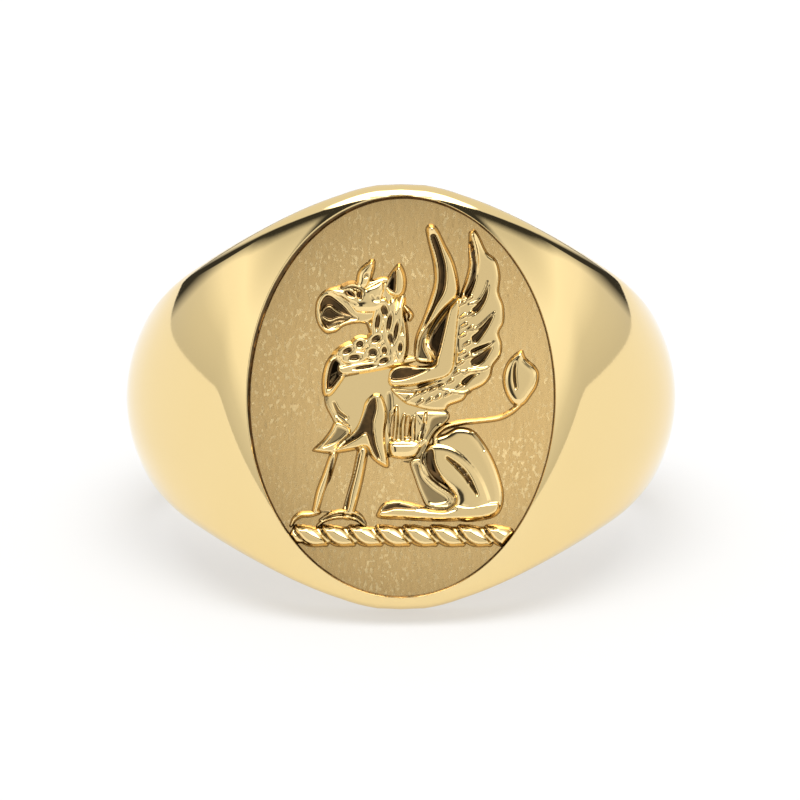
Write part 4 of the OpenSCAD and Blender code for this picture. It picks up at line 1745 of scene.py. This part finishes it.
@dataclass
class Studio:
    """The pale floor, the soft light all round and the camera."""

    axes: RingAxes
    sizes: RingSizes = field(default_factory=RingSizes)
    floor_r: float = 4.0
    distance: float = 1000.0
    view_width: float = 31.8
    aim_x: float = -0.04
    aim_z: float = -0.13
    sensor: float = 36.0
    clip_near: float = 0.01
    clip_far: float = 20.0
    brightest: float = 5.0
    floor_white: float = 0.36
    floor_glow: float = 0.52
    floor_rough: float = 0.9
    floor_shine: float = 0.1
    room: float = 0.04
    sweep: float = 0.88
    lamp_lean: float = 18.0
    lamp_half: float = 24.0
    card_turn: float = 45.0
    card_rise: float = 0.95
    gap_rise: float = 0.36
    front_rise: float = 1.75
    front_top: float = 33.0
    front_fade: float = 8.0
    soft_edge: float = 0.12
    lamp_soft: tuple[float, float] = (1.08, 0.9)
    ahead: tuple[tuple[float, float], ...] = ((0.45, 0.0), (0.75, 1.0))
    facing_aside: tuple[tuple[float, float], ...] = ((0.46, 1.0), (0.56, 0.0))
    facing_ahead: tuple[tuple[float, float], ...] = ((0.0, 0.0), (0.1, 1.0))
    card_glow: tuple[tuple[float, float], ...] = (
        (0, 0.68), (8, 0.8), (15, 1.1), (24, 1.2), (33, 0.95), (42, 0.75))
    front_glow: tuple[tuple[float, float], ...] = (
        (-0.68, 0.7), (-0.6, 0.05), (-0.26, 0.05), (-0.16, 0.66), (0.0, 0.72), (0.2, 0.8),
        (0.65, 0.85))

    def floor(self, level: float) -> None:
        """Lays the floor at a height in metres.

        Args:
            level: The height in the frame.
        """
        bm = bmesh.new()
        bmesh.ops.create_circle(bm, cap_ends=True, segments=96, radius=self.floor_r)
        bmesh.ops.translate(bm, verts=bm.verts, vec=(0, 0, level))
        mesh = bpy.data.meshes.new("floor")
        bm.to_mesh(mesh)
        bm.free()
        material = bpy.data.materials.new("floor_paper")
        material.use_nodes = True
        nodes = Nodes(material.node_tree)
        shader = nodes.add("BsdfPrincipled", {"Base Color": grey(self.floor_white),
                                              "Roughness": self.floor_rough,
                                              "Specular IOR Level": self.floor_shine,
                                              "Emission Color": grey(1),
                                              "Emission Strength": self.floor_glow})
        nodes.add("OutputMaterial", {0: shader.outputs[0]})
        mesh.materials.append(material)
        floor = bpy.data.objects.new("floor", mesh)
        bpy.context.scene.collection.objects.link(floor)

    def _faded(self, nodes: Nodes, start: float, end: float, factor: object) -> object:
        """A factor that rises from 0 to 1 between two values of another."""
        return nodes.ramp(factor, [(start, 0.0), (end, 1.0)])

    def _card_edge(self, nodes: Nodes, forward: object, aside: object) -> object:
        """The rise of the nearer side card's top edge in a direction.

        Args:
            nodes: The world's node tree.
            forward: How far the direction points ahead.
            aside: How far it points to either side.

        Returns:
            The rise, as an output socket.
        """
        turn = math.radians(self.card_turn)
        return nodes.math("ADD", nodes.math("MULTIPLY", forward, self.card_rise * math.cos(turn)),
                          nodes.math("MULTIPLY", aside, self.card_rise * math.sin(turn)))

    def _cards(self, nodes: Nodes, height: object, over: object) -> object:
        """The light of the side cards, with the dim room over them.

        Args:
            nodes: The world's node tree.
            height: The direction's height, where 1 is straight up.
            over: How far it rises over the nearer card's top edge.

        Returns:
            The light as a share of the brightest, as an output socket.
        """
        top = self.brightest
        card = nodes.ramp(height, [(at / 90, v / top) for at, v in self.card_glow])
        return nodes.between(self._faded(nodes, 0.0, self.soft_edge, over), card,
                             grey(self.room / top))

    def _front(self, nodes: Nodes, height: object, sideways: object) -> object:
        """The light from the camera's side, with the dim room over it.

        Args:
            nodes: The world's node tree.
            height: The direction's height, where 1 is straight up.
            sideways: How far it points to the right.

        Returns:
            The light as a share of the brightest, as an output socket.
        """
        top = self.brightest
        front = nodes.ramp(nodes.math("ADD", nodes.math("MULTIPLY", sideways, 0.5), 0.5),
                           [(0.5 + s / 2, v / top) for s, v in self.front_glow])
        above = self._faded(nodes, self.front_top / 90, (self.front_top + self.front_fade) / 90,
                            height)
        return nodes.between(above, front, grey(self.room / top))

    def _lamp(self, nodes: Nodes, y: object, z: object) -> object:
        """Where the softbox overhead stands, from 0 to 1.

        Args:
            nodes: The world's node tree.
            y: The direction's y.
            z: The direction's z.

        Returns:
            The factor, as an output socket.
        """
        lean, half = math.radians(self.lamp_lean), math.radians(self.lamp_half)
        outer, inner = self.lamp_soft
        toward = nodes.math("ADD", nodes.math("MULTIPLY", y, -math.sin(lean)),
                            nodes.math("MULTIPLY", z, math.cos(lean)))
        return self._faded(nodes, math.cos(half * outer), math.cos(half * inner), toward)

    def light(self) -> None:
        """Lights the scene: a softbox overhead, white cards at the sides and a white sweep behind.

        The dim room shows between the cards, the sweep and the camera.
        """
        world = bpy.data.worlds.new("studio")
        world.use_nodes = True
        bpy.context.scene.world = world
        nodes = Nodes(world.node_tree)
        way = nodes.add("TexCoord").outputs["Generated"]
        x, y, z = nodes.add("SeparateXYZ", {0: way}).outputs
        flat = nodes.math("SQRT", nodes.math("ADD", nodes.math("MULTIPLY", x, x),
                                             nodes.math("MULTIPLY", y, y)))
        flat = nodes.math("MAXIMUM", flat, 0.001)
        forward = nodes.math("DIVIDE", nodes.math("MULTIPLY", y, -1.0), flat)
        sideways = nodes.math("DIVIDE", x, flat)
        aside = nodes.math("ABSOLUTE", sideways)
        rise = nodes.math("DIVIDE", z, flat)
        height = nodes.math("DIVIDE", nodes.math("ARCTANGENT", rise), math.pi / 2)
        edge = self._card_edge(nodes, forward, aside)
        card = self._cards(nodes, height, nodes.math("SUBTRACT", rise, edge))
        front = self._front(nodes, height, sideways)
        facing = nodes.math("MULTIPLY", nodes.ramp(aside, self.facing_aside),
                            nodes.ramp(forward, self.facing_ahead))
        glow = nodes.between(facing, card, front)
        gap = nodes.math("MAXIMUM", nodes.math("ADD", edge, self.gap_rise),
                         nodes.math("MULTIPLY", nodes.ramp(forward, self.ahead), self.front_rise))
        sky = self._faded(nodes, 0.0, self.soft_edge, nodes.math("SUBTRACT", rise, gap))
        glow = nodes.between(sky, glow, grey(self.sweep / self.brightest))
        glow = nodes.between(self._lamp(nodes, y, z), glow, grey(1))
        shader = nodes.add("Background", {0: glow, 1: self.brightest})
        nodes.add("OutputWorld", {0: shader.outputs[0]})

    def camera(self) -> None:
        """Looks straight at the table."""
        data = bpy.data.cameras.new("camera")
        data.sensor_width = self.sensor
        data.lens = self.sensor * self.distance / self.view_width
        data.clip_start = self.clip_near
        data.clip_end = self.clip_far
        camera = bpy.data.objects.new("camera", data)
        bpy.context.scene.collection.objects.link(camera)
        aim = self.axes.one(self.aim_x, -self.sizes.face, self.aim_z)
        camera.location = self.axes.one(self.aim_x, -self.sizes.face - self.distance, self.aim_z)
        camera.rotation_euler = (aim - camera.location).to_track_quat("-Z", "Y").to_euler()
        bpy.context.scene.camera = camera


# ---------------------------------------------------------------- the whole


def main() -> None:
    """Builds the ring, its crest and the studio round it."""
    logging.basicConfig(level=logging.INFO, format="%(name)s: %(message)s")
    bpy.context.scene.view_settings.view_transform = "Standard"
    axes = RingAxes.from_record(frame["record"])
    polished, ground, relief = (finish.build() for finish in (POLISHED, GROUND, RELIEF))
    RingBody(axes).build(polished)
    OvalPlate(axes).build(ground)
    for piece in Griffin(axes).pieces():
        piece.build(relief)
    studio = Studio(axes)
    studio.floor(CAD_BOX[0][2])
    studio.light()
    studio.camera()


if __name__ == "__main__":
    main()
